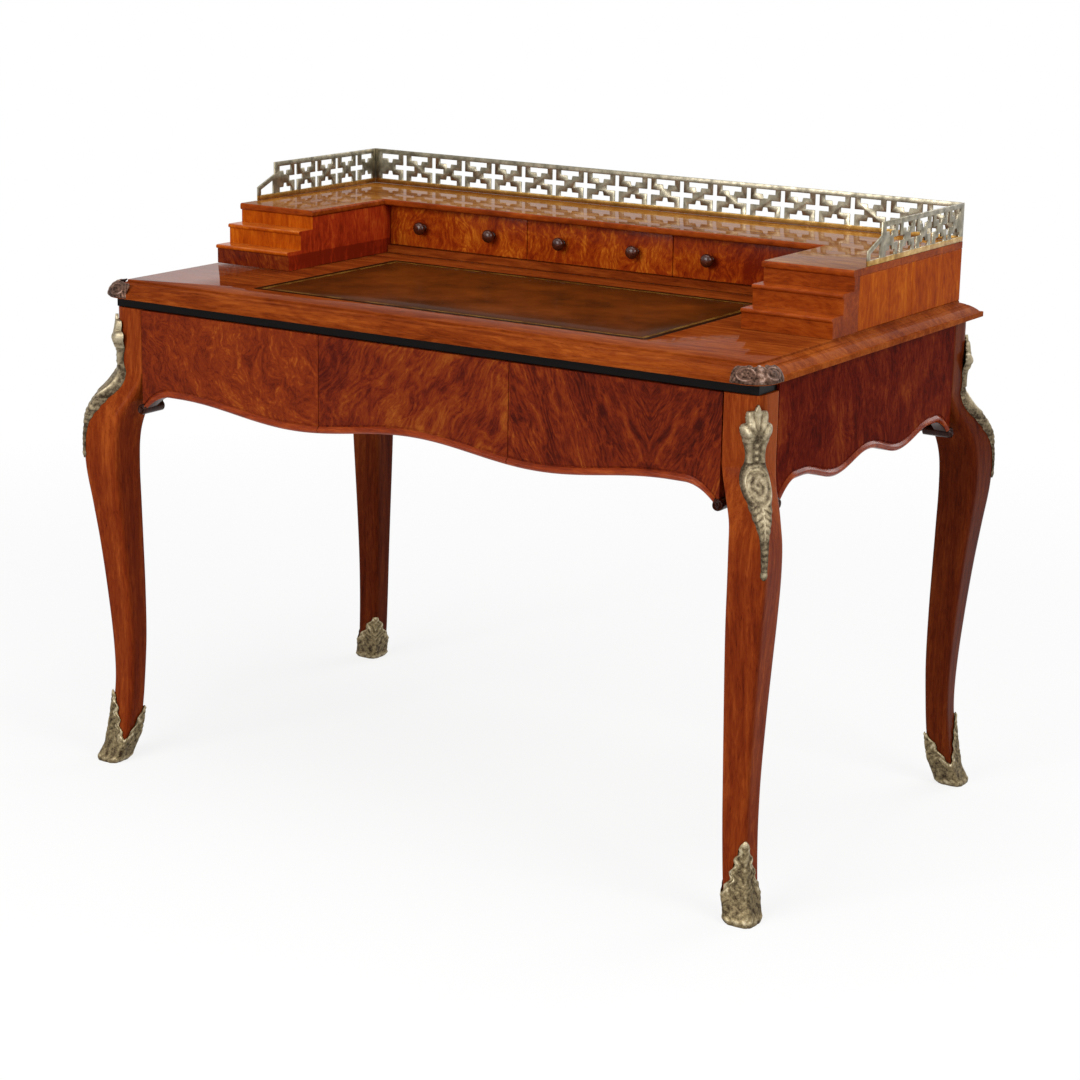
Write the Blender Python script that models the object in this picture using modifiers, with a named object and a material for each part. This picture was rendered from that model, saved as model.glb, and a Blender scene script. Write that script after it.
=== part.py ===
"""Carlton house desk: a walnut writing desk on four cabriole legs.

A moulded top with a leather inset carries a low stand of small drawers, U-shaped in plan.
Its two arms end in three steps, and a pierced brass gallery runs round its outer edge.
Metres, +Z up. The sitter is at -Y. The origin is on the floor under the middle of the desk.
"""
import bpy
import bmesh
from bisect import bisect
from math import cos, pi, radians, sin, sqrt
from mathutils import Vector

for old in list(bpy.data.objects):
    bpy.data.objects.remove(old, do_unlink=True)

# Fits between pieces
GAP = 0.0003            # glued or resting faces
DRAWER_GAP = 0.001      # clearance round a drawer front
SHOE_GAP = 0.0006       # brass fitted over curved wood

# Desk top
TOP_WIDTH = 1.140
TOP_DEPTH = 0.690
TOP_HEIGHT = 0.765
TOP_THICK = 0.025
MOULD_WIDTH = 0.028     # width of the moulded edge in plan
LIP = 0.008             # upright lip at the outer edge
LEDGE = 0.004           # flat ledge above the lip
FILLET = 0.003          # small upright above the quarter round
TOP_RADIUS = 0.034      # rounded front corners
LEATHER_WIDTH = 0.684
LEATHER_FRONT = 0.083   # wooden border in front of the leather
LEATHER_DEPTH = 0.362
LEATHER_THICK = 0.0013
RECESS = 0.0016

# Case under the top
OVERHANG = 0.014
POST = 0.054            # square head of a leg
RAIL_HEIGHT = 0.015
RAIL_SETBACK = 0.004
FRONT_THICK = 0.020     # drawer fronts and aprons
FRIEZE_DEPTH = 0.144    # from the underside of the top to the raised parts of the apron
LOBE_DROP = 0.019       # how far the apron's lobes hang down
LOBE_FLAT = 0.020       # level stretch beside the ear
EAR_LENGTH = 0.055      # curved ear where an apron meets a leg
EAR_DROP = 0.032
SCROLL_RADIUS = 0.0095   # small round scroll that ends each ear
SCROLL_STEPS = 6
BEAD_HEIGHT = 0.010
BEAD_OUT = 0.004
APRON_STEP = 0.020      # spacing of the sections along an apron
SEAM = 0.165            # joint between two frieze drawers, from the middle
RUNNER_RISE = 0.006      # runners above the aprons' raised parts
RUNNER_THICK = 0.010
RUNNER_WIDTH = 0.030
DIVIDER_THICK = 0.012
BOX_DEPTH = 0.510       # frieze drawer box
BOX_WALL = 0.008
BOX_SIDE_GAP = 0.003
BOX_HEAD_GAP = 0.006

# Legs and their brass
SHOULDER_RISE = 0.032   # the knee starts this far above the raised apron edge
CANT = 0.008            # flat on the outer corner of the leg's head
ARRIS = 0.003           # flat on the leg's other corners
SHOE_FLOOR = 0.004
SHOE_THICK = 0.0025
SHOE_BACK = 0.066
SHOE_SIDE = 0.080
SHOE_TIP = 0.145        # leaf that climbs the outer corner
CHUTE_LENGTH = 0.222
CHUTE_START = 0.012     # below the dark rail
CHUTE_THICK = 0.0020
CLASP_ARM = 0.018       # corner mount, straight part beside the curve
CLASP_THICK = 0.0025

# Stand of small drawers
STAND_HEIGHT = 0.0885
ARM_WIDTH = 0.142
ARM_LENGTH = 0.253      # in front of the drawer bank
BANK_DEPTH = 0.169
WALL = 0.012
BOARD_THICK = 0.010
STEP_RUN = 0.0305
NOSE_OUT = 0.004
NOSE_THICK = 0.006
STEP_BACK = 0.016       # thickness behind the last riser
PLINTH = 0.012
PLINTH_SETBACK = 0.010
SMALL_SETBACK = 0.018   # small drawer fronts behind the board's edge
SMALL_FRONT = 0.012
SMALL_WALL = 0.006
SMALL_DIVIDER = 0.010
SMALL_BACK_GAP = 0.010
KNOB_PITCH = 0.134
KNOB_RADIUS = 0.0105
KNOB_LENGTH = 0.020
KNOB_FOOT = 0.0062
KNOB_NECK = 0.0042

# Pierced gallery
GALLERY_HEIGHT = 0.0575
GALLERY_THICK = 0.0028
GALLERY_SETBACK = 0.042  # behind the top step's nosing
RAMP_LENGTH = 0.043
RAMP_FOOT = 0.021
RAMP_HEAD = 0.0385
FRET_PITCH = 0.060
FRET_RAIL = 0.0078
FRET_SLOT = 0.0076
FRET_BAR = 0.0076
FRET_STRIP = 0.0090     # beside an upright slot
FRET_KNOT = 0.0102      # half the metal between the arms of two crosses
FRET_STEM = 0.0070      # from the middle of the fret to the end of a tee's stem

EASE = 0.0008           # softened edges of boards

# Places that follow from the sizes above
half_w = TOP_WIDTH / 2
half_d = TOP_DEPTH / 2
under = TOP_HEIGHT - TOP_THICK
case_x = half_w - OVERHANG
case_y = half_d - OVERHANG
post_x = case_x - POST
post_y = case_y - POST
rail_z = under - GAP - RAIL_HEIGHT
apron_z = under - FRIEZE_DEPTH
shoulder_z = apron_z + SHOULDER_RISE
runner_z = apron_z + RUNNER_RISE
runner_top = runner_z + RUNNER_THICK
stand_x = half_w - MOULD_WIDTH
stand_y = half_d - MOULD_WIDTH
stand_z = TOP_HEIGHT + GAP
stand_top = TOP_HEIGHT + STAND_HEIGHT
board_z = stand_top - BOARD_THICK
arm_x = stand_x - ARM_WIDTH
bank_y = stand_y - BANK_DEPTH
step_y = bank_y - ARM_LENGTH
last_step_y = step_y + 2 * STEP_RUN
steps_end = last_step_y + NOSE_OUT + STEP_BACK
plinth_top = stand_z + PLINTH
gallery_y = last_step_y + GALLERY_SETBACK
SIDES = {"left": -1, "right": 1}
CORNERS = {"front_left": (-1, -1), "front_right": (1, -1), "rear_left": (-1, 1), "rear_right": (1, 1)}


def collection(name):
    """A new collection in the scene."""
    group = bpy.data.collections.new(name)
    bpy.context.scene.collection.children.link(group)
    return group


parts = collection("carlton_house_desk")
cutters = collection("cutters")


def material(name, colour, roughness, metallic=0.0):
    """A plain Principled material; the colour is sRGB hex."""
    mat = bpy.data.materials.new(name)
    mat.use_nodes = True
    shader = mat.node_tree.nodes["Principled BSDF"]
    channels = [int(colour[i:i + 2], 16) / 255 for i in (1, 3, 5)]
    linear = [c / 12.92 if c <= 0.04045 else ((c + 0.055) / 1.055) ** 2.4 for c in channels]
    shader.inputs["Base Color"].default_value = (*linear, 1.0)
    shader.inputs["Roughness"].default_value = roughness
    shader.inputs["Metallic"].default_value = metallic
    mat.diffuse_color = (*linear, 1.0)
    return mat


walnut = material("figured_walnut", "#7a3210", 0.28)
veneer = material("polished_veneer", "#8a3c10", 0.22)
ebony = material("ebonised_moulding", "#0a0606", 0.35)
lining = material("drawer_lining", "#8c6238", 0.60)
hide = material("tooled_leather", "#3f2a10", 0.40)
gilt = material("gilt_brass", "#a89866", 0.38, 1.0)
fret = material("gallery_brass", "#b5a77e", 0.34, 1.0)
dark_wood = material("turned_knob", "#24120a", 0.30)


def place(name, data, mat, at=(0, 0, 0), turn=(0, 0, 0), parent=None, group=parts):
    """Make an object of a mesh or a curve; at is in world space, also under a parent."""
    data.materials.append(mat)
    obj = bpy.data.objects.new(name, data)
    group.objects.link(obj)
    obj.rotation_euler = [radians(a) for a in turn]
    obj.parent = parent
    obj.location = Vector(at) - (parent.location if parent else Vector())
    return obj


def slide(name, at):
    """An empty that a drawer's pieces ride on, at the middle of the drawer front."""
    obj = bpy.data.objects.new(name, None)
    parts.objects.link(obj)
    obj.location = at
    obj.empty_display_size = 0.05
    return obj


def to_mesh(name, bm):
    """Turn a closed bmesh into a mesh with outward faces, smooth up to its sharp edges."""
    bmesh.ops.recalc_face_normals(bm, faces=bm.faces)
    mesh = bpy.data.meshes.new(name)
    bm.to_mesh(mesh)
    bm.free()
    mesh.shade_smooth()
    mesh.set_sharp_from_angle(angle=radians(35))
    return mesh


def block(name, low, high, mat, parent=None, group=parts, ease=EASE):
    """A board between two corners, with softened edges."""
    low, high = Vector(low), Vector(high)
    bm = bmesh.new()
    bmesh.ops.create_cube(bm, size=1.0)
    bmesh.ops.scale(bm, vec=high - low, verts=bm.verts)
    obj = place(name, to_mesh(name, bm), mat, (low + high) / 2, parent=parent, group=group)
    if ease:
        soft = obj.modifiers.new("softened_edges", "BEVEL")
        soft.width = ease
        soft.segments = 1
    return obj


def loft(name, rings, mat, parent=None, at=(0, 0, 0)):
    """A closed body through rings of equally many points, capped at both ends."""
    bm = bmesh.new()
    loops = [[bm.verts.new(Vector(p) - Vector(at)) for p in ring] for ring in rings]
    for lower, upper in zip(loops, loops[1:]):
        for i in range(len(lower)):
            j = (i + 1) % len(lower)
            bm.faces.new((lower[i], lower[j], upper[j], upper[i]))
    bm.faces.new(loops[0])
    bm.faces.new(loops[-1])
    return place(name, to_mesh(name, bm), mat, at, parent=parent)


def sheet(name, outline, thick, mat, at=(0, 0, 0), turn=(0, 0, 0), holes=()):
    """A flat piece cut to an outline, with holes, its thickness centred on its place."""
    curve = bpy.data.curves.new(name, "CURVE")
    curve.dimensions = "2D"
    curve.fill_mode = "BOTH"
    curve.extrude = thick / 2
    for points in (outline, *holes):
        spline = curve.splines.new("POLY")
        spline.points.add(len(points) - 1)
        for knot, (x, y) in zip(spline.points, points):
            knot.co = (x, y, 0.0, 1.0)
        spline.use_cyclic_u = True
    return place(name, curve, mat, at, turn)


def cut(obj, low, high, parent=None):
    """Take a box-shaped pocket out of an object."""
    tool = block(obj.name + "_cutter", low, high, lining, parent, cutters, ease=0)
    tool.hide_render = True
    tool.display_type = "WIRE"
    pocket = obj.modifiers.new("pocket", "BOOLEAN")
    pocket.operation = "DIFFERENCE"
    pocket.object = tool


def smooth_value(rows, key, column):
    """Read one column of a table of rows at a key, on a smooth curve through the rows."""
    i = 0
    while i < len(rows) - 2 and key > rows[i + 1][0]:
        i += 1
    a, b = rows[i], rows[i + 1]
    before, after = rows[max(i - 1, 0)], rows[min(i + 2, len(rows) - 1)]
    span = b[0] - a[0]
    t = min(max((key - a[0]) / span, 0.0), 1.0)
    slope_a = (b[column] - before[column]) / (b[0] - before[0]) * span
    slope_b = (after[column] - a[column]) / (after[0] - a[0]) * span
    return ((2 * t ** 3 - 3 * t ** 2 + 1) * a[column] + (t ** 3 - 2 * t ** 2 + t) * slope_a
            + (3 * t ** 2 - 2 * t ** 3) * b[column] + (t ** 3 - t ** 2) * slope_b)


# The legs are lofted from diamond sections, which point out along the desk's diagonals.
# Each row: share of the height up to the shoulder, then how far the outer corner, the inner
# corner and the two side corners lie from the outer corner of the leg's square head.
diagonal = POST * sqrt(2)
LEG_ROWS = (
    (0.00, 0.0450, -0.0120, 0.0290),
    (0.07, 0.0280, -0.0280, 0.0276),
    (0.14, 0.0175, -0.0350, 0.0277),
    (0.22, 0.0130, -0.0392, 0.0284),
    (0.32, 0.0150, -0.0425, 0.0298),
    (0.45, 0.0225, -0.0425, 0.0328),
    (0.57, 0.0315, -0.0408, 0.0360),
    (0.67, 0.0410, -0.0392, 0.0385),
    (0.76, 0.0500, -0.0380, 0.0398),
    (0.835, 0.0515, -0.0400, 0.0398),
    (0.885, 0.0460, -0.0475, diagonal / 2),
    (0.915, 0.0375, -0.0580, diagonal / 2),
    (0.94, 0.0272, -0.0710, diagonal / 2),
    (0.97, 0.0120, -diagonal, diagonal / 2),
    (1.00, 0.0000, -diagonal, diagonal / 2),
)
KNEE_SHARE = 0.84       # above this the sections lie closer, round the shoulder
SHANK_STEPS = 24
KNEE_STEPS = 13
shares = [KNEE_SHARE * i / SHANK_STEPS for i in range(SHANK_STEPS)]
shares += [KNEE_SHARE + (1 - KNEE_SHARE) * i / KNEE_STEPS for i in range(KNEE_STEPS + 1)]
levels = [shoulder_z * share for share in shares]


def leg_row(z):
    """Outer, inner and side reach of the leg at a height, and the flats on its corners."""
    reaches = [smooth_value(LEG_ROWS, z / shoulder_z, c) for c in (1, 2, 3)]
    head = min(max((z - apron_z) / SHOULDER_RISE, 0.0), 1.0)
    return reaches + [ARRIS + (CANT - ARRIS) * head, ARRIS + (EASE - ARRIS) * head]


leg_curve = [leg_row(z) for z in levels]


def leg_sizes(z):
    """The leg's reaches and flats at any height, straight between two of its sections."""
    i = min(max(bisect(levels, z) - 1, 0), len(levels) - 2)
    t = min((z - levels[i]) / (levels[i + 1] - levels[i]), 1.0)
    return [a + (b - a) * t for a, b in zip(leg_curve[i], leg_curve[i + 1])]


def leg_section(z, grow=0.0):
    """Eight points of the leg's section, along and across the diagonal, grown by an offset."""
    outer, inner, side, cant, flat = leg_sizes(z)
    outer, inner, side = outer + grow * sqrt(2), inner - grow * sqrt(2), side + grow * sqrt(2)
    cant, flat = cant + grow * (sqrt(2) - 1), flat + grow * (sqrt(2) - 1)
    middle = (outer + inner) / 2
    lean = (outer - middle) / side
    half = [(outer - cant, cant / lean), (middle + flat * lean, side - flat),
            (middle - flat * lean, side - flat), (inner + flat, flat / lean)]
    return half + [(s, -v) for s, v in reversed(half)]


def leg_face(z, across, grow):
    """How far out the leg's two outer faces lie at a place across the diagonal."""
    outer, inner, side, cant, _ = leg_sizes(z)
    depth = (outer - inner) / 2 + grow * sqrt(2)
    face = outer + grow * sqrt(2) - depth * abs(across) / (side + grow * sqrt(2))
    return min(face, outer - cant + grow)


def on_leg(corner, along, across, z):
    """World place of a point given along and across a leg's diagonal."""
    sx, sy = CORNERS[corner]
    x = sx * case_x + (sx * along - sy * across) / sqrt(2)
    y = sy * case_y + (sy * along + sx * across) / sqrt(2)
    return Vector((x, y, z))


def leg(corner):
    """Cabriole leg in one piece with its square head."""
    head = rail_z - GAP if corner.startswith("front") else under - GAP
    heights = [SHOE_FLOOR + SHOE_GAP] + [z for z in levels if z > SHOE_FLOOR + 0.003] + [head]
    rings = [[on_leg(corner, s, v, z) for s, v in leg_section(z)] for z in heights]
    loft("leg_" + corner, rings, walnut)


def shoe(corner):
    """Cast brass shoe: a cup round the foot, with a leaf that climbs the outer corner."""
    rims = [SHOE_TIP, SHOE_SIDE, SHOE_SIDE, SHOE_BACK]
    rims += rims[::-1]
    shares = (0.0, 0.1, 0.2, 0.3, 0.42, 0.55, 0.7, 0.85, 1.0)

    def ring(share, floor, grow):
        points = []
        for i, rim in enumerate(rims):
            z = floor + share * (rim - floor)
            s, v = leg_section(z, grow)[i]
            points.append(on_leg(corner, s, v, z))
        return points

    rings = [ring(share, 0.0, SHOE_GAP + SHOE_THICK) for share in shares]
    rings += [ring(share, SHOE_FLOOR, SHOE_GAP) for share in reversed(shares)]
    loft("shoe_" + corner, rings, gilt)


# Knee mount from its top tip down, as share of its length, half width and crown over the leg:
# a leafy head that curls out, a waist, an oval boss and a tail
CHUTE_ROWS = (
    (0.00, 0.0120, 0.0015), (0.05, 0.0175, 0.0035), (0.11, 0.0235, 0.0070), (0.16, 0.0230, 0.0085),
    (0.205, 0.0185, 0.0060), (0.25, 0.0140, 0.0028), (0.31, 0.0115, 0.0022), (0.37, 0.0130, 0.0030),
    (0.46, 0.0195, 0.0046), (0.54, 0.0185, 0.0044), (0.63, 0.0105, 0.0030), (0.72, 0.0075, 0.0022),
    (0.94, 0.0055, 0.0014), (1.00, 0.0030, 0.0008),
)
CHUTE_STEPS = 22


def chute(corner):
    """Brass mount that lies over the outer corner of the leg, from its head to below the knee."""
    top = rail_z - CHUTE_START
    heights = [top - CHUTE_LENGTH * i / CHUTE_STEPS for i in range(CHUTE_STEPS + 1)]
    heights += [z for z in levels if min(abs(z - h) for h in heights) > EASE and top - CHUTE_LENGTH < z < top]
    rings = []
    for z in sorted(heights):
        share = (top - z) / CHUTE_LENGTH
        half = smooth_value(CHUTE_ROWS, share, 1)
        bend = min(leg_section(z, SHOE_GAP)[0][1], 0.85 * half)
        across = (-half, -bend, 0.0, bend, half)
        crown = smooth_value(CHUTE_ROWS, share, 2)
        ring = [(leg_face(z, v, SHOE_GAP), v) for v in across]
        ring += [(leg_face(z, v, SHOE_GAP + CHUTE_THICK + crown * (1 - (v / half) ** 2)), v) for v in reversed(across)]
        rings.append([on_leg(corner, s, v, z) for s, v in ring])
    loft("knee_mount_" + corner, rings, gilt)


def apron_foot(place_on, half):
    """Height of an apron's lower edge: two hanging lobes, and a scrolled ear beside each leg."""
    away = abs(place_on)
    lobes_end = half - EAR_LENGTH - LOBE_FLAT
    if away < lobes_end:
        return apron_z - LOBE_DROP * sin(pi * away / lobes_end) ** 2
    ear = max(away - (half - EAR_LENGTH), 0.0) / EAR_LENGTH
    from_scroll = min(abs(half - SCROLL_RADIUS - away), SCROLL_RADIUS)
    return apron_z - EAR_DROP * ear ** 2 - sqrt(SCROLL_RADIUS ** 2 - from_scroll ** 2)


def apron_stations(start, end, half):
    """Places of the sections along an apron, closer together round the scrolls."""
    steps = max(int((end - start) / APRON_STEP), 4)
    stations = [start + (end - start) * i / steps for i in range(steps + 1)]
    ends = [half - SCROLL_RADIUS * (1 - cos(pi * k / SCROLL_STEPS)) for k in range(1, SCROLL_STEPS + 1)]
    scrolls = [sign * a for a in ends for sign in (-1, 1) if start + GAP < sign * a < end - GAP]
    edge = half - 2 * SCROLL_RADIUS
    plain = [s for s in stations[1:-1] if abs(s) < edge - APRON_STEP / 4]
    return sorted([start, end] + plain + scrolls)


def apron_section(foot, top):
    """Section through an apron, out from its face and up: a bead runs along its foot."""
    bead = [(BEAD_OUT * sin(pi * k), foot + BEAD_HEIGHT * (1 - k)) for k in (0.0, 0.2, 0.5, 0.8, 1.0)]
    return [(0.0, top)] + bead + [(-FRONT_THICK, foot), (-FRONT_THICK, top)]


def apron(name, start, end, half, top, facing, face, mat, parent=None):
    """Board with a serpentine beaded foot between two places along an axis of the desk."""
    rings = []
    for along in apron_stations(start, end, half):
        section = apron_section(apron_foot(along, half), top)
        if facing[0]:
            rings.append([(facing[0] * (face + out), along, z) for out, z in section])
        else:
            rings.append([(along, facing[1] * (face + out), z) for out, z in section])
    loft(name, rings, mat, parent, parent.location if parent else (0, 0, 0))


def frieze_drawer(name, low_x, high_x, low_gap, high_gap):
    """Drawer in the frieze; its front runs down to the serpentine edge, by which it is pulled."""
    rider = slide(name + "_slide", ((low_x + high_x) / 2, -case_y, (apron_z + rail_z) / 2))
    apron(name + "_front", low_x, high_x, post_x, rail_z - DRAWER_GAP, (0, -1), case_y, veneer, rider)
    low = Vector((low_x + low_gap, FRONT_THICK + GAP - case_y, runner_top + GAP))
    high = Vector((high_x - high_gap, FRONT_THICK + GAP - case_y + BOX_DEPTH, rail_z - BOX_HEAD_GAP))
    box = block(name + "_box", low, high, lining, rider, ease=0)
    wall = Vector((BOX_WALL, BOX_WALL, BOX_WALL))
    cut(box, low + wall, high + Vector((-BOX_WALL, -BOX_WALL, BOX_WALL)), rider)


def case():
    """Rail, aprons, drawer dividers and runners between the legs, and the three frieze drawers."""
    rail_x, rail_y = case_x - RAIL_SETBACK, case_y - RAIL_SETBACK
    block("front_rail", (-rail_x, -rail_y, rail_z), (rail_x, -post_y, under - GAP), ebony)
    back_face = case_y - FRONT_THICK - GAP
    for side, sign in SIDES.items():
        apron("side_apron_" + side, -post_y + GAP, post_y - GAP, post_y, under - GAP, (sign, 0), case_x, veneer)
        ends = sorted((sign * (post_x - GAP), sign * (post_x - RUNNER_WIDTH)))
        block("drawer_runner_" + side, (ends[0], FRONT_THICK + DRAWER_GAP - case_y, runner_z),
              (ends[1], back_face, runner_top), lining)
        half, web = RUNNER_WIDTH, DIVIDER_THICK / 2
        low, step, high = runner_z, runner_top, rail_z - GAP
        tee = [(-half, low), (half, low), (half, step), (web, step), (web, high), (-web, high), (-web, step),
               (-half, step)]
        start = FRONT_THICK + DRAWER_GAP - case_y
        sheet("drawer_divider_" + side, tee, back_face - start, lining,
              (sign * SEAM, (start + back_face) / 2, 0), (90, 0, 0))
    apron("rear_apron", -post_x + GAP, post_x - GAP, post_x, under - GAP, (0, 1), case_y, veneer)
    post_gap = BOX_SIDE_GAP
    web_gap = DIVIDER_THICK / 2 + BOX_SIDE_GAP
    joint = DRAWER_GAP / 2
    frieze_drawer("frieze_drawer_left", -post_x + DRAWER_GAP, -SEAM - joint, post_gap, web_gap)
    frieze_drawer("frieze_drawer_centre", -SEAM + joint, SEAM - joint, web_gap, web_gap)
    frieze_drawer("frieze_drawer_right", SEAM + joint, post_x - DRAWER_GAP, web_gap, post_gap)


CORNER_STEPS = 7
ROUND_STEPS = 4


def edge_profile():
    """Moulded edge of the top from its underside up, as inset and height."""
    rise, run = TOP_THICK - LIP - FILLET, MOULD_WIDTH - LEDGE
    base = under + LIP
    quarter = [(LEDGE + run * (1 - cos(a)), base + rise * sin(a))
               for a in (pi / 2 * i / ROUND_STEPS for i in range(ROUND_STEPS + 1))]
    return [(EASE, under), (0.0, under + EASE), (0.0, base)] + quarter + [(MOULD_WIDTH, TOP_HEIGHT)]


def top_outline(inset, z):
    """Plan of the top at an inset: rounded corners in front, square corners behind."""
    x, y, r = half_w - inset, half_d - inset, TOP_RADIUS - inset
    arc = [(sin(a), -cos(a)) for a in (pi / 2 * i / CORNER_STEPS for i in range(CORNER_STEPS + 1))]
    right = [(x - r + r * u, -y + r + r * v, z) for u, v in arc] + [(x, y, z)]
    return right + [(-px, py, pz) for px, py, pz in reversed(right)]


def desk_top():
    """Solid top with a moulded edge, and the leather let into it."""
    top = loft("desk_top", [top_outline(inset, z) for inset, z in edge_profile()], walnut)
    x, front = LEATHER_WIDTH / 2, LEATHER_FRONT - half_d
    floor = TOP_HEIGHT - RECESS
    cut(top, (-x, front, floor), (x, front + LEATHER_DEPTH, TOP_HEIGHT + RECESS))
    block("leather_inset", (GAP - x, front + GAP, floor + GAP),
          (x - GAP, front + LEATHER_DEPTH - GAP, floor + GAP + LEATHER_THICK), hide, ease=0)


def offset_line(points, away):
    """Shift an open line of points to its right-hand side by a distance."""
    shifted = []
    for i, point in enumerate(points):
        before, after = points[max(i - 1, 0)], points[min(i + 1, len(points) - 1)]
        normals = []
        for a, b in ((before, point), (point, after)):
            run = Vector(b) - Vector(a)
            if run.length > 0:
                normals.append(Vector((run.y, -run.x)).normalized())
        mean = (normals[0] + normals[-1]).normalized()
        shifted.append(Vector(point) + mean * away / mean.dot(normals[0]))
    return shifted


def corner_clasp(side):
    """Brass mount round a front corner of the top, following the moulded edge."""
    sign = SIDES[side]
    outline = [(-inset, z) for inset, z in edge_profile()[1:-3]]
    section = offset_line(outline, SHOE_GAP) + offset_line(outline, SHOE_GAP + CLASP_THICK)[::-1]
    centre = Vector((half_w - TOP_RADIUS, TOP_RADIUS - half_d))
    turns = [pi / 2 * i / CORNER_STEPS for i in range(CORNER_STEPS + 1)]
    stations = [(centre - Vector((CLASP_ARM, 0)), 0.0)] + [(centre, a) for a in turns]
    stations += [(centre + Vector((0, CLASP_ARM)), pi / 2)]
    rings = []
    for base, a in stations:
        ring = [base + Vector((sin(a), -cos(a))) * (TOP_RADIUS + out) for out, _ in section]
        rings.append([(sign * p.x, p.y, z) for p, (_, z) in zip(ring, section)])
    loft("corner_mount_" + side, rings, gilt)


def arm(side):
    """One arm of the stand: three nosed steps in front, and the boards behind them."""
    sign = SIDES[side]
    rise = STAND_HEIGHT / 3
    stairs = [(steps_end, stand_z), (step_y + NOSE_OUT, stand_z)]
    for i in range(2):
        y, tread = step_y + i * STEP_RUN, TOP_HEIGHT + (i + 1) * rise
        stairs += [(y + NOSE_OUT, tread - NOSE_THICK), (y, tread - NOSE_THICK), (y, tread),
                   (y + STEP_RUN + NOSE_OUT, tread)]
    stairs += [(last_step_y + NOSE_OUT, board_z - GAP), (steps_end, board_z - GAP)]
    sheet("steps_" + side, stairs, ARM_WIDTH, veneer, (sign * (stand_x - ARM_WIDTH / 2), 0, 0), (90, 0, 90))
    boards = {"arm_outer_side_": (stand_x - WALL, stand_x, steps_end + GAP, bank_y - GAP / 2),
              "arm_inner_side_": (arm_x, arm_x + WALL, steps_end + GAP, stand_y - WALL - GAP),
              "bank_end_": (stand_x - WALL, stand_x, bank_y + GAP / 2, stand_y)}
    for name, (x0, x1, y0, y1) in boards.items():
        near, far = sorted((sign * x0, sign * x1))
        block(name + side, (near, y0, stand_z), (far, y1, board_z - GAP), veneer)


def knob(name, rider, x, y, z):
    """Turned knob: a flattened ball on a narrow neck and a small foot."""
    ball = KNOB_LENGTH * 0.375
    centre = KNOB_LENGTH - ball
    turned = [(KNOB_RADIUS * cos(a), centre + ball * sin(a)) for a in (pi / 2 - pi * i / 8 for i in range(7))]
    turned += [(KNOB_NECK, KNOB_LENGTH * 0.2), (KNOB_FOOT, KNOB_LENGTH * 0.1), (KNOB_FOOT, 0.0), (0.0, 0.0)]
    turned[0] = (0.0, KNOB_LENGTH)
    bm = bmesh.new()
    verts = [bm.verts.new((r, 0.0, h)) for r, h in turned]
    for a, b in zip(verts, verts[1:]):
        bm.edges.new((a, b))
    mesh = bpy.data.meshes.new(name)
    bm.to_mesh(mesh)
    bm.free()
    obj = place(name, mesh, dark_wood, (x, y, z), (90, 0, 0), rider)
    lathe = obj.modifiers.new("turning", "SCREW")
    lathe.steps = lathe.render_steps = 12
    lathe.use_merge_vertices = True
    lathe.merge_threshold = 0.00001
    lathe.use_smooth_shade = True


def small_drawer(name, low_x, high_x, low_gap, high_gap):
    """Small drawer of the stand, with two knobs."""
    front_y = bank_y + SMALL_SETBACK
    low_z, high_z = plinth_top + DRAWER_GAP, board_z - DRAWER_GAP
    middle = (low_x + high_x) / 2
    rider = slide(name + "_slide", (middle, front_y, (low_z + high_z) / 2))
    block(name + "_front", (low_x, front_y, low_z), (high_x, front_y + SMALL_FRONT, high_z), veneer, rider)
    low = Vector((low_x + low_gap, front_y + SMALL_FRONT + GAP, plinth_top + GAP))
    high = Vector((high_x - high_gap, stand_y - WALL - SMALL_BACK_GAP, board_z - BOX_HEAD_GAP))
    box = block(name + "_box", low, high, lining, rider, ease=0)
    wall = Vector((SMALL_WALL, SMALL_WALL, SMALL_WALL))
    cut(box, low + wall, high + Vector((-SMALL_WALL, -SMALL_WALL, SMALL_WALL)), rider)
    for hand, sign in SIDES.items():
        knob(f"{name}_knob_{hand}", rider, middle + sign * KNOB_PITCH / 2, front_y - GAP, (low_z + high_z) / 2)


def drawer_bank():
    """Back part of the stand: plinth, back board, dividers and three small drawers."""
    back = stand_y - WALL
    block("bank_plinth", (-arm_x + GAP, bank_y + PLINTH_SETBACK, stand_z), (arm_x - GAP, back - GAP, plinth_top), veneer)
    inside = stand_x - WALL - GAP
    block("bank_back", (-inside, back, stand_z), (inside, stand_y, board_z - GAP), walnut)
    width = 2 * (arm_x - DRAWER_GAP) / 3
    for side, sign in SIDES.items():
        seam = sign * width / 2
        block("bank_divider_" + side, (seam - SMALL_DIVIDER / 2, bank_y + SMALL_SETBACK + SMALL_FRONT + GAP, plinth_top + GAP),
              (seam + SMALL_DIVIDER / 2, back - GAP, board_z - GAP), lining)
    edge, joint = 1.5 * width, DRAWER_GAP / 2
    end_gap, web_gap = BOX_SIDE_GAP, SMALL_DIVIDER / 2 + BOX_SIDE_GAP
    small_drawer("small_drawer_left", -edge, -width / 2 - joint, end_gap, web_gap)
    small_drawer("small_drawer_centre", joint - width / 2, width / 2 - joint, web_gap, web_gap)
    small_drawer("small_drawer_right", width / 2 + joint, edge, web_gap, end_gap)


def stand_board():
    """Top board of the stand in one U, its front edges over the arms' last steps."""
    x, inner = stand_x, arm_x - NOSE_OUT / 2
    outline = [(-x, last_step_y), (-inner, last_step_y), (-inner, bank_y), (inner, bank_y), (inner, last_step_y),
               (x, last_step_y), (x, stand_y), (-x, stand_y)]
    sheet("stand_top_board", outline, BOARD_THICK, veneer, (0, 0, (board_z + stand_top) / 2))


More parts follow.
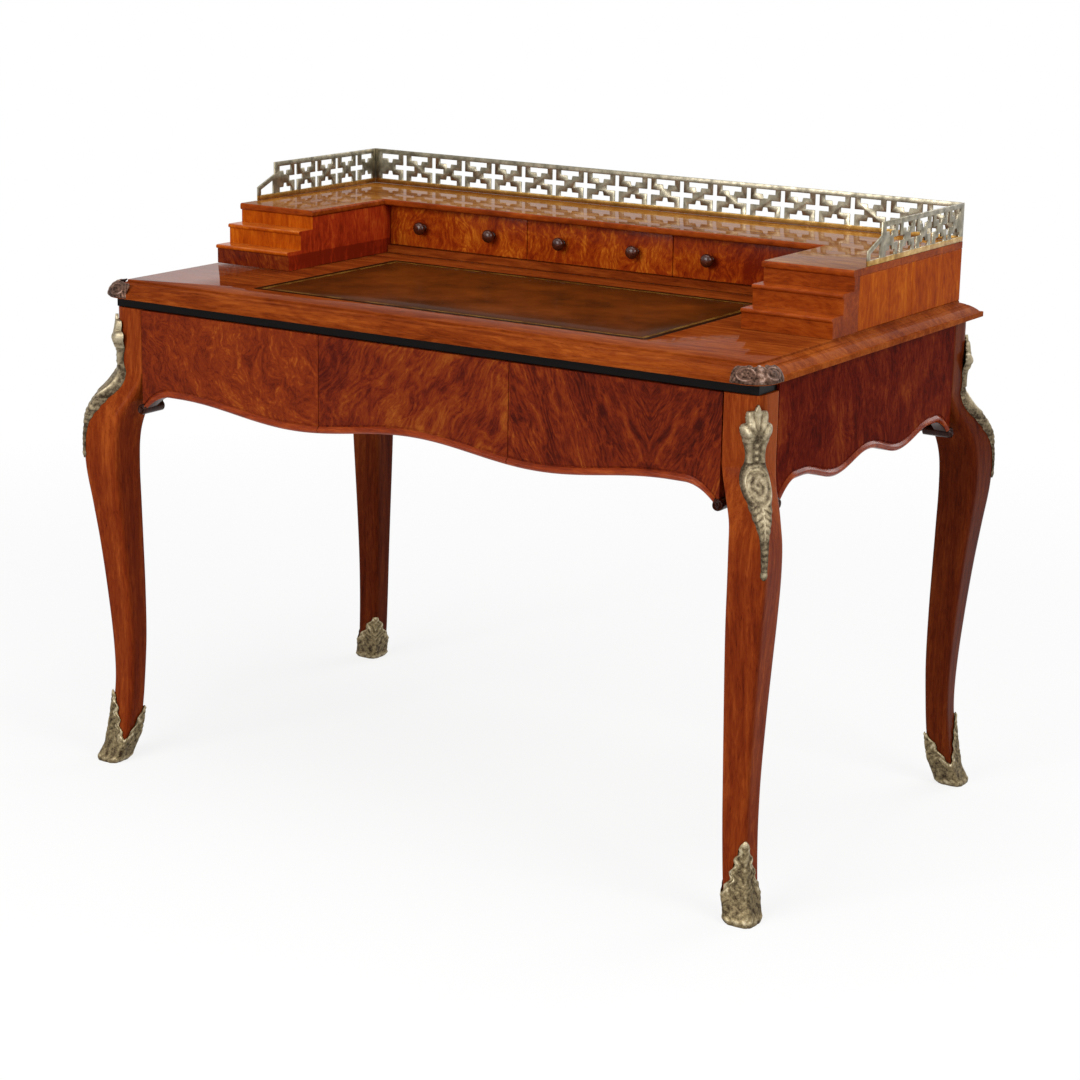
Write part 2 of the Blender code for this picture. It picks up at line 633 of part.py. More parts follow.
def fret_voids(start, end):
    """Openings of the fret between two places: a cross at each pair of uprights, a tee above and
    below midway between two pairs."""
    count = max(round((end - start) / FRET_PITCH), 1)
    pitch = (end - start) / count
    low, high, middle = FRET_RAIL, GALLERY_HEIGHT - FRET_RAIL, GALLERY_HEIGHT / 2
    slot, bar = FRET_SLOT / 2, FRET_BAR / 2
    reach = pitch / 2 - FRET_KNOT
    tee_end = slot + FRET_STRIP
    stem_low = middle + FRET_STEM
    voids = []
    for i in range(count + 1):
        u = start + i * pitch
        if 0 < i < count:
            voids.append([(u + a, middle + b) for a, b in (
                (-slot, low - middle), (slot, low - middle), (slot, -bar), (reach, -bar), (reach, bar), (slot, bar),
                (slot, high - middle), (-slot, high - middle), (-slot, bar), (-reach, bar), (-reach, -bar),
                (-slot, -bar))])
        if i < count:
            tee = [(tee_end, high), (tee_end, high - FRET_BAR), (pitch / 2 - 1.4 * slot, high - FRET_BAR),
                   (pitch / 2 - slot, stem_low)]
            tee += [(pitch - a, b) for a, b in reversed(tee)]
            voids.append([(u + a, b) for a, b in tee])
            voids.append([(u + a, GALLERY_HEIGHT - b) for a, b in reversed(tee)])
    return voids


def gallery():
    """Pierced brass gallery on the outer edge of the stand; its side pieces ramp down in front."""
    base = stand_top + GAP
    x = stand_x - GALLERY_THICK - GAP
    back = [(-x, 0), (x, 0), (x, GALLERY_HEIGHT), (-x, GALLERY_HEIGHT)]
    sheet("gallery_back", back, GALLERY_THICK, fret, (0, stand_y - GALLERY_THICK / 2, base), (90, 0, 0), fret_voids(-x, x))
    y0, y1 = gallery_y, stand_y
    ramp = y0 + RAMP_LENGTH
    side_outline = [(y0, 0), (y1, 0), (y1, GALLERY_HEIGHT), (ramp, GALLERY_HEIGHT), (ramp, RAMP_HEAD), (y0, RAMP_FOOT)]
    inset = FRET_RAIL
    slope = (RAMP_HEAD - RAMP_FOOT) / RAMP_LENGTH
    window = [(y0 + inset, inset), (ramp - inset / 2, inset), (ramp - inset / 2, RAMP_HEAD - inset - slope * inset / 2),
              (y0 + inset, RAMP_FOOT - inset + slope * inset)]
    for side, sign in SIDES.items():
        sheet("gallery_" + side, side_outline, GALLERY_THICK, fret, (sign * (stand_x - GALLERY_THICK / 2), 0, base),
              (90, 0, 90), fret_voids(ramp, y1) + [window])


for corner in CORNERS:
    leg(corner)
    shoe(corner)
    chute(corner)
case()
desk_top()
for side in SIDES:
    corner_clasp(side)
    arm(side)
drawer_bank()
stand_board()
gallery()
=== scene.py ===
"""Carlton house desk, dressed for the camera: polished walnut, gilt brass and leather.

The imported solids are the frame. Curved and ornamented pieces are modelled here at full detail,
and flat boards stay as they are and get their finish. Metres, +Z up, the sitter is at -Y.
"""

from functools import lru_cache
from math import atan2, cos, exp, hypot, log, pi, radians, sin, sqrt

import bmesh
import bpy
from mathutils import Matrix, Vector


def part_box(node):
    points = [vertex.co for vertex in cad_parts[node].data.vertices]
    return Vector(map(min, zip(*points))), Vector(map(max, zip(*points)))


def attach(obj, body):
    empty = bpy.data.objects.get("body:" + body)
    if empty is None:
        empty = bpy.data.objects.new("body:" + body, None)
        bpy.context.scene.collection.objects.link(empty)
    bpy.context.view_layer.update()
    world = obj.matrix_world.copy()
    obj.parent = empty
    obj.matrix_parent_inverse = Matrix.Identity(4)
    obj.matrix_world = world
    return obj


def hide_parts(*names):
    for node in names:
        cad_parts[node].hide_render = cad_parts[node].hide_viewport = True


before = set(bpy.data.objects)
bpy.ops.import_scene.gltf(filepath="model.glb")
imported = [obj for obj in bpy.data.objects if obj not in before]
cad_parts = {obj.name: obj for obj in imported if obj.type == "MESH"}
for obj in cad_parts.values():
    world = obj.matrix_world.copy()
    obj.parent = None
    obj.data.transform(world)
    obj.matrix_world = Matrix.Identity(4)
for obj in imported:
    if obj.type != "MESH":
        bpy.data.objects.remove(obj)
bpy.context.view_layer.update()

# Legs
# Four cabriole legs, each sawn and carved from one piece of walnut with its square head.
# The section is a diamond that points out along the desk's diagonal, its corners softened by hand.
# The aprons are tenoned into the heads, which carry the top.
top_low, top_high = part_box("desk_top")
half_w, half_d = top_high.x, top_high.y
under, top_z = top_low.z, top_high.z
OVERHANG = 0.014
POST = 0.054            # square head of a leg
FRIEZE = 0.144          # from the top's underside to the raised parts of the aprons
SHOULDER = 0.032        # the knee starts this far above them
case_x, case_y = half_w - OVERHANG, half_d - OVERHANG
post_x, post_y = case_x - POST, case_y - POST
rail_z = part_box("front_rail")[0].z
apron_z = under - FRIEZE
shoulder_z = apron_z + SHOULDER
GAP = 0.0003            # between glued faces
CANT = 0.008            # flat on the outer corner of the leg's head
ARRIS = 0.003           # flat on its other corners
HOOF_ROUND = 0.002      # extra rounding of the foot's corners, which runs out at this height
HOOF_HEIGHT = 0.070
CORNERS = {"front_left": (-1, -1), "front_right": (1, -1), "rear_left": (-1, 1), "rear_right": (1, 1)}
diagonal = POST * sqrt(2)
# Share of the height up to the shoulder, then how far the outer, inner and side corners of the
# section lie from the outer corner of the square head
LEG_ROWS = (
    (0.00, 0.0450, -0.0120, 0.0290),
    (0.03, 0.0338, -0.0195, 0.0284),
    (0.07, 0.0254, -0.0280, 0.0276),
    (0.14, 0.0175, -0.0350, 0.0277),
    (0.22, 0.0130, -0.0392, 0.0284),
    (0.32, 0.0150, -0.0425, 0.0298),
    (0.45, 0.0225, -0.0425, 0.0328),
    (0.57, 0.0315, -0.0408, 0.0360),
    (0.67, 0.0410, -0.0392, 0.0385),
    (0.76, 0.0500, -0.0380, 0.0398),
    (0.835, 0.0515, -0.0400, 0.0398),
    (0.885, 0.0460, -0.0475, diagonal / 2),
    (0.915, 0.0375, -0.0580, diagonal / 2),
    (0.94, 0.0272, -0.0710, diagonal / 2),
    (0.97, 0.0120, -diagonal, diagonal / 2),
    (1.00, 0.0000, -diagonal, diagonal / 2),
)


def smooth_value(rows, key, column):
    """Read one column of a table at a key, on a smooth curve through the rows."""
    i = 0
    while i < len(rows) - 2 and key > rows[i + 1][0]:
        i += 1
    a, b = rows[i], rows[i + 1]
    before, after = rows[max(i - 1, 0)], rows[min(i + 2, len(rows) - 1)]
    span = b[0] - a[0]
    t = min(max((key - a[0]) / span, 0.0), 1.0)
    slope_a = (b[column] - before[column]) / (b[0] - before[0]) * span
    slope_b = (after[column] - a[column]) / (after[0] - a[0]) * span
    return ((2 * t ** 3 - 3 * t ** 2 + 1) * a[column] + (t ** 3 - 2 * t ** 2 + t) * slope_a
            + (3 * t ** 2 - 2 * t ** 3) * b[column] + (t ** 3 - t ** 2) * slope_b)


@lru_cache(None)
def leg_reach(z):
    """Outer, inner and side reach of the leg at a height, and the flats on its corners."""
    reaches = [smooth_value(LEG_ROWS, z / shoulder_z, c) for c in (1, 2, 3)]
    head = min(max((z - apron_z) / (shoulder_z - apron_z), 0.0), 1.0)
    hoof = HOOF_ROUND * max(1 - z / HOOF_HEIGHT, 0.0) ** 2
    return (*reaches, ARRIS + (CANT - ARRIS) * head + hoof, ARRIS * (1 - 0.7 * head) + hoof)


def leg_point(z, around, grow=0.0):
    """Along and across the diagonal on the rounded section; around is 0 to 4 from the outer corner."""
    outer, inner, side, cant, flat = leg_reach(z)
    outer, inner, side = outer + grow * sqrt(2), inner - grow * sqrt(2), side + grow * sqrt(2)
    middle = (outer + inner) / 2
    corners = [Vector((outer, 0)), Vector((middle, side)), Vector((inner, 0)), Vector((middle, -side))]
    rounds = [2 * cant / (outer - middle), 2 * flat / side, 2 * flat / (outer - middle), 2 * flat / side]
    face = int(around) % 4
    t = around - int(around)
    nearest, away = (face, t) if t < 0.5 else ((face + 1) % 4, t - 1)
    reach = min(rounds[nearest], 0.49)
    if abs(away) > reach:
        return corners[face].lerp(corners[(face + 1) % 4], t)
    corner = corners[nearest]
    start = corner.lerp(corners[nearest - 1], reach)
    end = corner.lerp(corners[(nearest + 1) % 4], reach)
    s = 0.5 + away / (2 * reach)
    return start * (1 - s) ** 2 + corner * 2 * s * (1 - s) + end * s ** 2


def on_leg(corner, along, across, z):
    """World place of a point given along and across a leg's diagonal."""
    sx, sy = CORNERS[corner]
    return Vector((sx * case_x + (sx * along - sy * across) / sqrt(2),
                   sy * case_y + (sy * along + sx * across) / sqrt(2), z))


MERGE = 0.00001         # points closer than this become one


def skin(columns, rows, place, into=None):
    """A grid of quads whose points are moved to place(u, v), with u and v from 0 to 1, and its open
    ends filled. Where place also gives a height, it is kept on the point for the patina."""
    bm = into or bmesh.new()
    height = bm.verts.layers.float.get("height") or bm.verts.layers.float.new("height")
    made = bmesh.ops.create_grid(bm, x_segments=columns, y_segments=rows, size=0.5)["verts"]
    for vert in made:
        point = place(vert.co.x + 0.5, vert.co.y + 0.5)
        if isinstance(point, tuple):
            point, vert[height] = point
        vert.co = point
    bmesh.ops.remove_doubles(bm, verts=made, dist=MERGE)
    bmesh.ops.holes_fill(bm, edges=[edge for edge in bm.edges if edge.is_boundary], sides=0)
    return bm


def piece(name, bm, finish, body, slot, *replaced, sharp=38):
    """Make an object of a bmesh, smooth up to its sharp edges, and tie it to its body and nodes."""
    bmesh.ops.recalc_face_normals(bm, faces=bm.faces)
    mesh = bpy.data.meshes.new(name)
    bm.to_mesh(mesh)
    bm.free()
    for layer in finish if isinstance(finish, tuple) else (finish,):
        mesh.materials.append(layer)
    mesh.shade_smooth()
    mesh.set_sharp_from_angle(angle=radians(sharp))
    obj = bpy.data.objects.new(name, mesh)
    bpy.context.scene.collection.objects.link(obj)
    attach(obj, body)
    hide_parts(*replaced)


def linear(colour):
    """Linear colour of an sRGB hex value."""
    channels = [int(colour[i:i + 2], 16) / 255 for i in (1, 3, 5)]
    return (*(c / 12.92 if c <= 0.04045 else ((c + 0.055) / 1.055) ** 2.4 for c in channels), 1.0)


def wire(made, links):
    """Give a node its inputs, by name or number, or as a tuple in order: values, sockets, or other nodes,
    of which the first output is taken. A map range takes a value, the range it has and the range it gets."""
    for socket, value in links.items() if isinstance(links, dict) else enumerate(links):
        if isinstance(value, bpy.types.Node):
            value = value.outputs[0]
        if isinstance(value, bpy.types.NodeSocket):
            made.id_data.links.new(value, made.inputs[socket])
        else:
            made.inputs[socket].default_value = value


def node(tree, kind, links=(), stops=(), **settings):
    """Add a node with its settings, its inputs and, on a ramp, the hex colours at its stops."""
    made = tree.nodes.new("ShaderNode" + kind)
    for key, value in settings.items():
        setattr(made, key, value)
    for i, (position, colour) in enumerate(stops):
        band = made.color_ramp.elements
        stop = band[i] if i < 2 else band.new(position)
        stop.position, stop.color = position, linear(colour)
    wire(made, links)
    return made


def new_material(name):
    """An empty material and its Principled shader, already joined to the output."""
    mat = bpy.data.materials.new(name)
    mat.use_nodes = True
    return mat, mat.node_tree, mat.node_tree.nodes["Principled BSDF"]


RINGS = 13              # growth rings across the whole range of the field that they follow
PORES = (0.0010, 0.016)
TONE_STOPS = (0.32, 0.45, 0.53, 0.65)


def french_polish(name, tones, figure=(0.040, 0.110), streak=(0.007, 0.090), mottle=(0.006, 0.020),
                  turn=(0, 0, 0), book=None, leaf=(0, 0, 0), curl=0.12, swirl=0.03, rings=0.022,
                  veins=0.05, gloss=0.20, shine=0.05, shade=None):
    """Walnut under many thin coats of shellac: clear, deep and glossy, with open pores still felt.
    figure, streak and mottle are the real sizes of the broad clouds, of the streaks of growth and of
    the small mottling, across and along the grain; curl and swirl are how far apart and how far the
    grain wanders; book is where two leaves of veneer meet as a mirror; rings and veins are how plainly
    the growth rings and the fine dark lines show; shade is an axis, two places along it, and how much
    darker the wood is at the first."""
    mat, tree, shader = new_material(name)
    here = place = node(tree, "TexCoord").outputs["Object"]
    if book is not None:
        place = node(tree, "VectorMath", (place, (book, 0, 0)), operation="SUBTRACT")
        place = node(tree, "VectorMath", (place,), operation="ABSOLUTE")
    wander = node(tree, "TexNoise", {"Vector": place, "Scale": 1 / curl, "Detail": 2.0}).outputs["Color"]
    place = node(tree, "VectorMath", (wander, (swirl, swirl, swirl), place), operation="MULTIPLY_ADD")
    turn = [radians(a) for a in turn]

    def laid(size):
        across, along = size
        return node(tree, "Mapping", {"Vector": place, "Location": leaf, "Rotation": turn,
                                      "Scale": (across, across, along)}, vector_type="TEXTURE")

    clouds = node(tree, "TexNoise", {"Vector": laid(figure), "Scale": 1.0, "Detail": 3.0, "Distortion": 0.6})
    streaks = node(tree, "TexNoise", {"Vector": laid(streak), "Scale": 1.0, "Detail": 3.0, "Roughness": 0.55})
    specks = node(tree, "TexNoise", {"Vector": laid(mottle), "Scale": 1.0, "Detail": 4.0, "Roughness": 0.6,
                                     "Distortion": 0.8})
    pores = node(tree, "TexNoise", {"Vector": laid(PORES), "Scale": 1.0, "Detail": 2.0})
    years = node(tree, "TexNoise", {"Vector": laid(figure), "W": 1.7, "Scale": 0.8, "Detail": 1.5,
                                    "Distortion": 0.5}, noise_dimensions="4D")
    years = node(tree, "Math", (years, 2 * pi * RINGS), operation="MULTIPLY")
    years = node(tree, "Math", (years,), operation="SINE")
    tone = 0.0
    for layer, weight in ((clouds, 0.44), (streaks, 0.24), (specks, 0.32), (years, rings)):
        tone = node(tree, "Math", (layer, weight, tone), operation="MULTIPLY_ADD")
    ridge = node(tree, "Math", (streaks, 0.5), operation="SUBTRACT")
    ridge = node(tree, "Math", (ridge,), operation="ABSOLUTE")
    for layer, near, far, depth in ((ridge, 0.0, 0.035, veins), (pores, 0.30, 0.45, 0.10)):
        dark = node(tree, "MapRange", (layer, near, far, -depth, 0.0))
        tone = node(tree, "Math", (tone, dark), operation="ADD")
    if shade:
        axis, first, second, amount = shade
        along = node(tree, "SeparateXYZ", (here,)).outputs[axis]
        dark = node(tree, "MapRange", (along, first, second, -amount, 0.0), interpolation_type="SMOOTHSTEP")
        tone = node(tree, "Math", (tone, dark), operation="ADD")
    worn = node(tree, "MapRange", (specks, 0.3, 0.7, gloss * 0.8, gloss * 1.25))
    felt = node(tree, "Bump", {"Strength": 0.3 * gloss, "Distance": 0.0002, "Height": pores})
    colour = node(tree, "ValToRGB", (tone,), stops=zip(TONE_STOPS, tones))
    wire(shader, {"Base Color": colour, "Roughness": worn, "Normal": felt, "IOR": 1.48,
                  "Specular IOR Level": shine})
    return mat


LEG_GRAIN = {"figure": (0.028, 0.300), "streak": (0.007, 0.200), "mottle": (0.005, 0.030), "curl": 0.25,
             "swirl": 0.02, "rings": 0.010, "veins": 0.03, "shine": 0.02}
# The front legs' walnut is painted lighter from the knee up to the head (a negative shade), a painted
# highlight.
leg_walnut = french_polish(
    "polished_walnut_leg", ("#501808", "#6d270c", "#7b3210", "#944519"), shade=(2, 0.60, 0.45, -0.08),
    **LEG_GRAIN)
# The rear legs take a darker copy of the leg walnut, a painted shade for the shade they stand in under the
# desk.
shaded_walnut = french_polish(
    "walnut_leg_painted_shade", ("#3a1006", "#531c09", "#5f250c", "#743514"), **LEG_GRAIN)
SHOE_FLOOR = 0.004
SHOE_GAP = 0.0006       # between brass and wood
LEG_COLUMNS = 64
LEG_ROWS_UP = 150
for corner in CORNERS:
    wood, head = (leg_walnut, rail_z - GAP) if corner.startswith("front") else (shaded_walnut, under - GAP)
    foot = SHOE_FLOOR + SHOE_GAP

    def leg_skin(u, v):
        face, t = int(4 * u) % 4, 4 * u - int(4 * u)
        z = round(foot + (head - foot) * v, 6)
        along, across = leg_point(z, face + (1 - cos(pi * t)) / 2)
        return on_leg(corner, along, across, z)

    bm = skin(LEG_COLUMNS, LEG_ROWS_UP, leg_skin)
    piece("walnut_leg_" + corner, bm, wood, "desk", "figured_walnut", "leg_" + corner)

# Shoes
# Cast brass shoes pulled over the feet and pinned. A leaf climbs the outer corner and a smaller one
# the inner corner, with bare wood in a deep V between them; the toe is swollen and studded.
# The gilding has worn to grey-green brass with dark dirt in the hollows.
SHOE_WALL = 0.0012
# Place round the foot from the outer corner (0) to the inner one (2), and the rim's height there
SHOE_RIM = (
    (0.00, 0.115), (0.08, 0.1145), (0.15, 0.112), (0.23, 0.105), (0.35, 0.092), (0.48, 0.078),
    (0.60, 0.064), (0.72, 0.053), (0.82, 0.046), (0.92, 0.041), (1.00, 0.039), (1.08, 0.041),
    (1.20, 0.046), (1.36, 0.055), (1.52, 0.066), (1.66, 0.075), (1.80, 0.081), (1.92, 0.084), (2.00, 0.085),
)
FOOT_FACE = 0.040       # width of one face of the foot
LOBE = 0.0190           # spacing of the lobes along a leaf's edge
LOBE_RISE = 0.0022      # how far they swing up, and round the foot
LOBE_SWING = 0.085
LOBE_START = 3.55       # where on its swing a leaf starts
LEAFLET = 0.0115        # spacing of the veins on a leaf
TOE_ROUND = 0.0022      # how far the toe is rounded under, up to this height
TOE_HEIGHT = 0.007


def bump(distance, width):
    """A soft round swelling, 1 in its middle."""
    return exp(-(distance / width) ** 2)


def ramp_up(value, start, end):
    """0 below the start, 1 above the end, straight between."""
    return min(max((value - start) / (end - start), 0.0), 1.0)


def shoe_rim(place_round):
    """Height of the rim, with the lobes of the leaves."""
    rim = smooth_value(SHOE_RIM, place_round, 1)
    return rim + LOBE_RISE * ramp_up(rim, 0.045, 0.060) * sin(2 * pi * rim / LOBE)


def leaf_swing(place_round, h):
    """Place round the foot with the leaves' lobes: their edges swing out and in on the way up."""
    inward = 1 if place_round < 1 else -1
    swing = LOBE_SWING * min(place_round / 0.30, (2 - place_round) / 0.30, 1.0)
    return place_round + inward * swing * ramp_up(h, 0.040, 0.052) * sin(2 * pi * h / LOBE + LOBE_START)


def shoe_relief(place_round, h, rim):
    """How far the casting stands out over its thin wall, and how clean its metal is there."""
    side = min(place_round, abs(place_round - 1), 2 - place_round) * FOOT_FACE
    rise = shoe_rim(min(place_round + 0.02, 2)) - shoe_rim(max(place_round - 0.02, 0))
    slope = rise / (0.04 * FOOT_FACE)
    to_rim = (rim - h) / sqrt(1 + slope * slope)
    leaf = ramp_up(h, 0.022, 0.040)
    thin = ramp_up(to_rim, 0.0, 0.006)
    leaflets = abs(sin(pi * (h - 0.9 * side + 0.003 * sin(h / 0.004)) / LEAFLET)) ** 0.6
    curled = bump(to_rim - 0.0026, 0.0026) * (0.45 + 0.55 * leaflets)
    rib = bump(side, 0.0030)
    folds = abs(sin(pi * (place_round * FOOT_FACE * (1 - 6 * h) / 0.0125 + 0.25 * sin(h / 0.003)))) ** 0.7
    scroll = bump(hypot(place_round * FOOT_FACE / 1.6, h - 0.0150), 0.0075)
    collar = bump(h - 0.0070, 0.0034)
    relief = leaf * thin * (0.0011 * leaflets + 0.0008 * rib) + 0.0013 * curled * leaf
    relief += (1 - leaf) * (0.0007 * folds + 0.0016 * scroll) + 0.0009 * collar
    clean = leaf * (0.65 * leaflets + 0.35 * rib) + (1 - leaf) * (0.45 * folds + 0.5 * scroll)
    return relief, min(0.12 + 0.60 * clean + 0.35 * collar + 0.55 * curled, 1.0)


def cast_brass(name, dark, middle, bright, gloss=0.46):
    """Cast and chased brass whose gilding has worn: pale on the high places, dirty in the hollows.
    The height kept on each point tells high from hollow; fine noise is the sand of the mould."""
    mat, tree, shader = new_material(name)
    place = node(tree, "TexCoord").outputs["Object"]
    height = node(tree, "Attribute", attribute_name="height").outputs["Fac"]
    sand = node(tree, "TexNoise", {"Vector": place, "Scale": 1 / 0.0018, "Detail": 3.0})
    stains = node(tree, "TexNoise", {"Vector": place, "Scale": 1 / 0.0065, "Detail": 4.0, "Roughness": 0.65})
    tone = -0.45
    for layer, weight in ((height, 0.50), (sand, 0.40), (stains, 0.90)):
        tone = node(tree, "Math", (layer, weight, tone), operation="MULTIPLY_ADD")
    colour = node(tree, "ValToRGB", (tone,), stops=((0.22, dark), (0.52, middle), (0.86, bright)))
    dirt = node(tree, "MapRange", (tone, 0.2, 0.8, gloss + 0.25, gloss))
    pitted = node(tree, "Bump", {"Strength": 0.35, "Distance": 0.0005, "Height": sand})
    wire(shader, {"Base Color": colour, "Roughness": dirt, "Normal": pitted, "Metallic": 1.0})
    return mat


shoe_brass = cast_brass("dull_shoe_brass", "#382c20", "#857658", "#c6ba9e")
SHOE_COLUMNS = 128
SHOE_OUTSIDE = 54
SHOE_INSIDE = 10
for corner in CORNERS:

    def shoe_skin(u, v):
        around = 4 * u
        place_round = min(around % 4, 4 - around % 4)
        rim = shoe_rim(place_round)
        row = round(v * (SHOE_OUTSIDE + SHOE_INSIDE))
        if row <= SHOE_OUTSIDE:
            h = rim * (row / SHOE_OUTSIDE)
            relief, clean = shoe_relief(place_round, h, rim)
            wall = SHOE_GAP + SHOE_WALL + relief - TOE_ROUND * max(1 - h / TOE_HEIGHT, 0) ** 2
        else:
            h = SHOE_FLOOR + (rim - SHOE_FLOOR) * (1 - (row - SHOE_OUTSIDE) / SHOE_INSIDE)
            wall, clean = SHOE_GAP, 0.0
        swung = leaf_swing(place_round, h)
        along, across = leg_point(round(h, 6), swung if around % 4 <= 2 else (4 - swung) % 4, wall)
        return on_leg(corner, along, across, h), clean

    bm = skin(SHOE_COLUMNS, SHOE_OUTSIDE + SHOE_INSIDE, shoe_skin)
    piece("brass_shoe_" + corner, bm, shoe_brass, "desk", "gilt_brass", "shoe_" + corner, sharp=60)

# Knee mounts
# Cast brass mounts pinned over the outer corners of the legs, from the head to below the knee.
# A leafy head curls out over a reeded neck, then come an oval shell in a raised rim, a leaf,
# and a beaded tail that runs out down the corner.
MOUNT_LENGTH = 0.222
MOUNT_DROP = 0.012      # from the front rail down to the mount's tip
MOUNT_WALL = 0.0020
TAIL_THIN = 0.0008      # how much thinner the tail is cast
FAN_DOWN = 0.044        # where the ribs of the leafy head spring from, and its reach up and sideways
FAN_UP = 0.043
FAN_WIDE = 0.0238
FAN_LOBE = radians(36)
FAN_LIFT = 0.003        # how far the head curls out
OVAL_DOWN = 0.104
OVAL_WIDE = 0.0200
OVAL_TALL = 0.0255
HEAD_END, OVAL_END, LEAF_END = 0.050, 0.128, 0.168
PEARL = 0.009           # spacing of the pearls on the neck, of the leaf's veins and of the tail's beads
VEIN = 0.0092
BEAD = 0.0082
mount_top = rail_z - MOUNT_DROP
# Metres down from the tip, and half the width there below the leafy head
MOUNT_OUTLINE = (
    (0.044, 0.0190), (0.050, 0.0172), (0.058, 0.0146), (0.066, 0.0136), (0.074, 0.0138), (0.080, 0.0150),
    (0.088, 0.0180), (0.096, 0.0198), (0.104, 0.0204), (0.112, 0.0198), (0.120, 0.0180), (0.127, 0.0152),
    (0.133, 0.0150), (0.139, 0.0126), (0.145, 0.0122), (0.151, 0.0096), (0.157, 0.0086), (0.163, 0.0068),
    (0.170, 0.0060), (0.185, 0.0052), (0.200, 0.0046), (0.210, 0.0042), (0.215, 0.0048), (0.219, 0.0040),
    (0.222, 0.0014),
)
# The same way down, and how far the middle stands out over the thin wall
MOUNT_CROWN = (
    (0.000, 0.0002), (0.010, 0.0010), (0.022, 0.0020), (0.032, 0.0030), (0.040, 0.0040), (0.045, 0.0034),
    (0.050, 0.0018), (0.056, 0.0010), (0.078, 0.0012), (0.090, 0.0004), (0.120, 0.0003), (0.134, 0.0010),
    (0.150, 0.0012), (0.165, 0.0008), (0.222, 0.0004),
)


def fan_place(x, down):
    """Reach (1 at the edge) and turn (0 straight up) of a place on the leafy head."""
    wide, tall = x / FAN_WIDE, (FAN_DOWN - down) / FAN_UP
    return hypot(wide, tall), atan2(wide, tall)


@lru_cache(None)
def mount_half(down):
    """Half the width of the knee mount at a place down from its tip."""
    if down >= FAN_DOWN:
        return smooth_value(MOUNT_OUTLINE, down, 1)
    half = 0.030
    while half > 0.0016:
        reach, turn = fan_place(half, down)
        if reach < 0.80 + 0.20 * abs(cos(pi * turn / FAN_LOBE)) ** 1.3:
            break
        half -= 0.0002
    return half


def soft_min(a, b, blend):
    """The smaller of two values, with a rounded corner where they meet."""
    return -blend * log(exp(-a / blend) + exp(-b / blend))


def leg_face(z, across, grow):
    """How far out the leg's two outer faces and the flat between them lie at a place across."""
    outer, inner, side, cant, _ = leg_reach(z)
    depth = (outer - inner) / 2 + grow * sqrt(2)
    face = outer + grow * sqrt(2) - depth * abs(across) / (side + grow * sqrt(2))
    return soft_min(face, outer - cant + grow, 0.0009)


def shell_oval(x, down, wide, tall, filled):
    """Ornament of an oval in two C-scrolls, from 0 to 1: a rim that sinks where the scrolls meet,
    round a leafy volute, which stands as high as filled says."""
    out = hypot(x / wide, down / tall)
    turn = atan2(down / tall, x / wide)
    rim = bump(out - 0.86, 0.12) * (0.70 + 0.30 * cos(2 * turn - 1.1))
    volute = (0.5 + 0.5 * cos(2 * pi * 2.3 * out - turn)) ** 0.8
    leaves = abs(sin(1.5 * turn + 9 * out)) ** 0.6
    return max(rim, filled * (0.62 * volute + 0.38 * leaves) * ramp_up(0.84 - out, 0.0, 0.10))


def mount_ornament(x, down, half):
    """Height of the chasing on the knee mount, from 0 in the hollows to 1, and its depth in metres."""
    t = x / half
    if down < HEAD_END:
        reach, turn = fan_place(x, down)
        lobes = abs(cos(pi * turn / FAN_LOBE)) ** 0.55
        veins = 0.25 * abs(sin(3 * pi * reach)) * (1 - lobes)
        hollow = bump(hypot(x, down - 0.0415), 0.0050)
        curls = bump(hypot(abs(x) - 0.0085, down - 0.0450), 0.0040)
        return max(lobes * ramp_up(reach, 0.12, 0.45) * (1 - 0.9 * hollow) + veins, curls), 0.0026
    if down < OVAL_DOWN - OVAL_TALL * 1.05:
        reeds = abs(cos(1.5 * pi * t)) ** 0.7
        pearls = bump(hypot(x, (down - HEAD_END) % PEARL - PEARL / 2), 0.0030)
        return max(0.75 * reeds * (1 - bump(x, 0.0045)), pearls), 0.0021
    if down < OVAL_END:
        return shell_oval(x, down - OVAL_DOWN, OVAL_WIDE, OVAL_TALL, 0.75), 0.0024
    if down < LEAF_END:
        leaflets = abs(sin(pi * (down - 0.8 * abs(x)) / VEIN)) ** 0.6
        return max(0.8 * leaflets * (1 - 0.5 * t * t), bump(x, 0.0016)), 0.0016
    beads = (0.5 + 0.5 * cos(2 * pi * (down - LEAF_END) / BEAD)) * (1 - t * t)
    return max(0.45 * beads, bump(hypot(x, down - 0.2145), 0.0038)), 0.0014


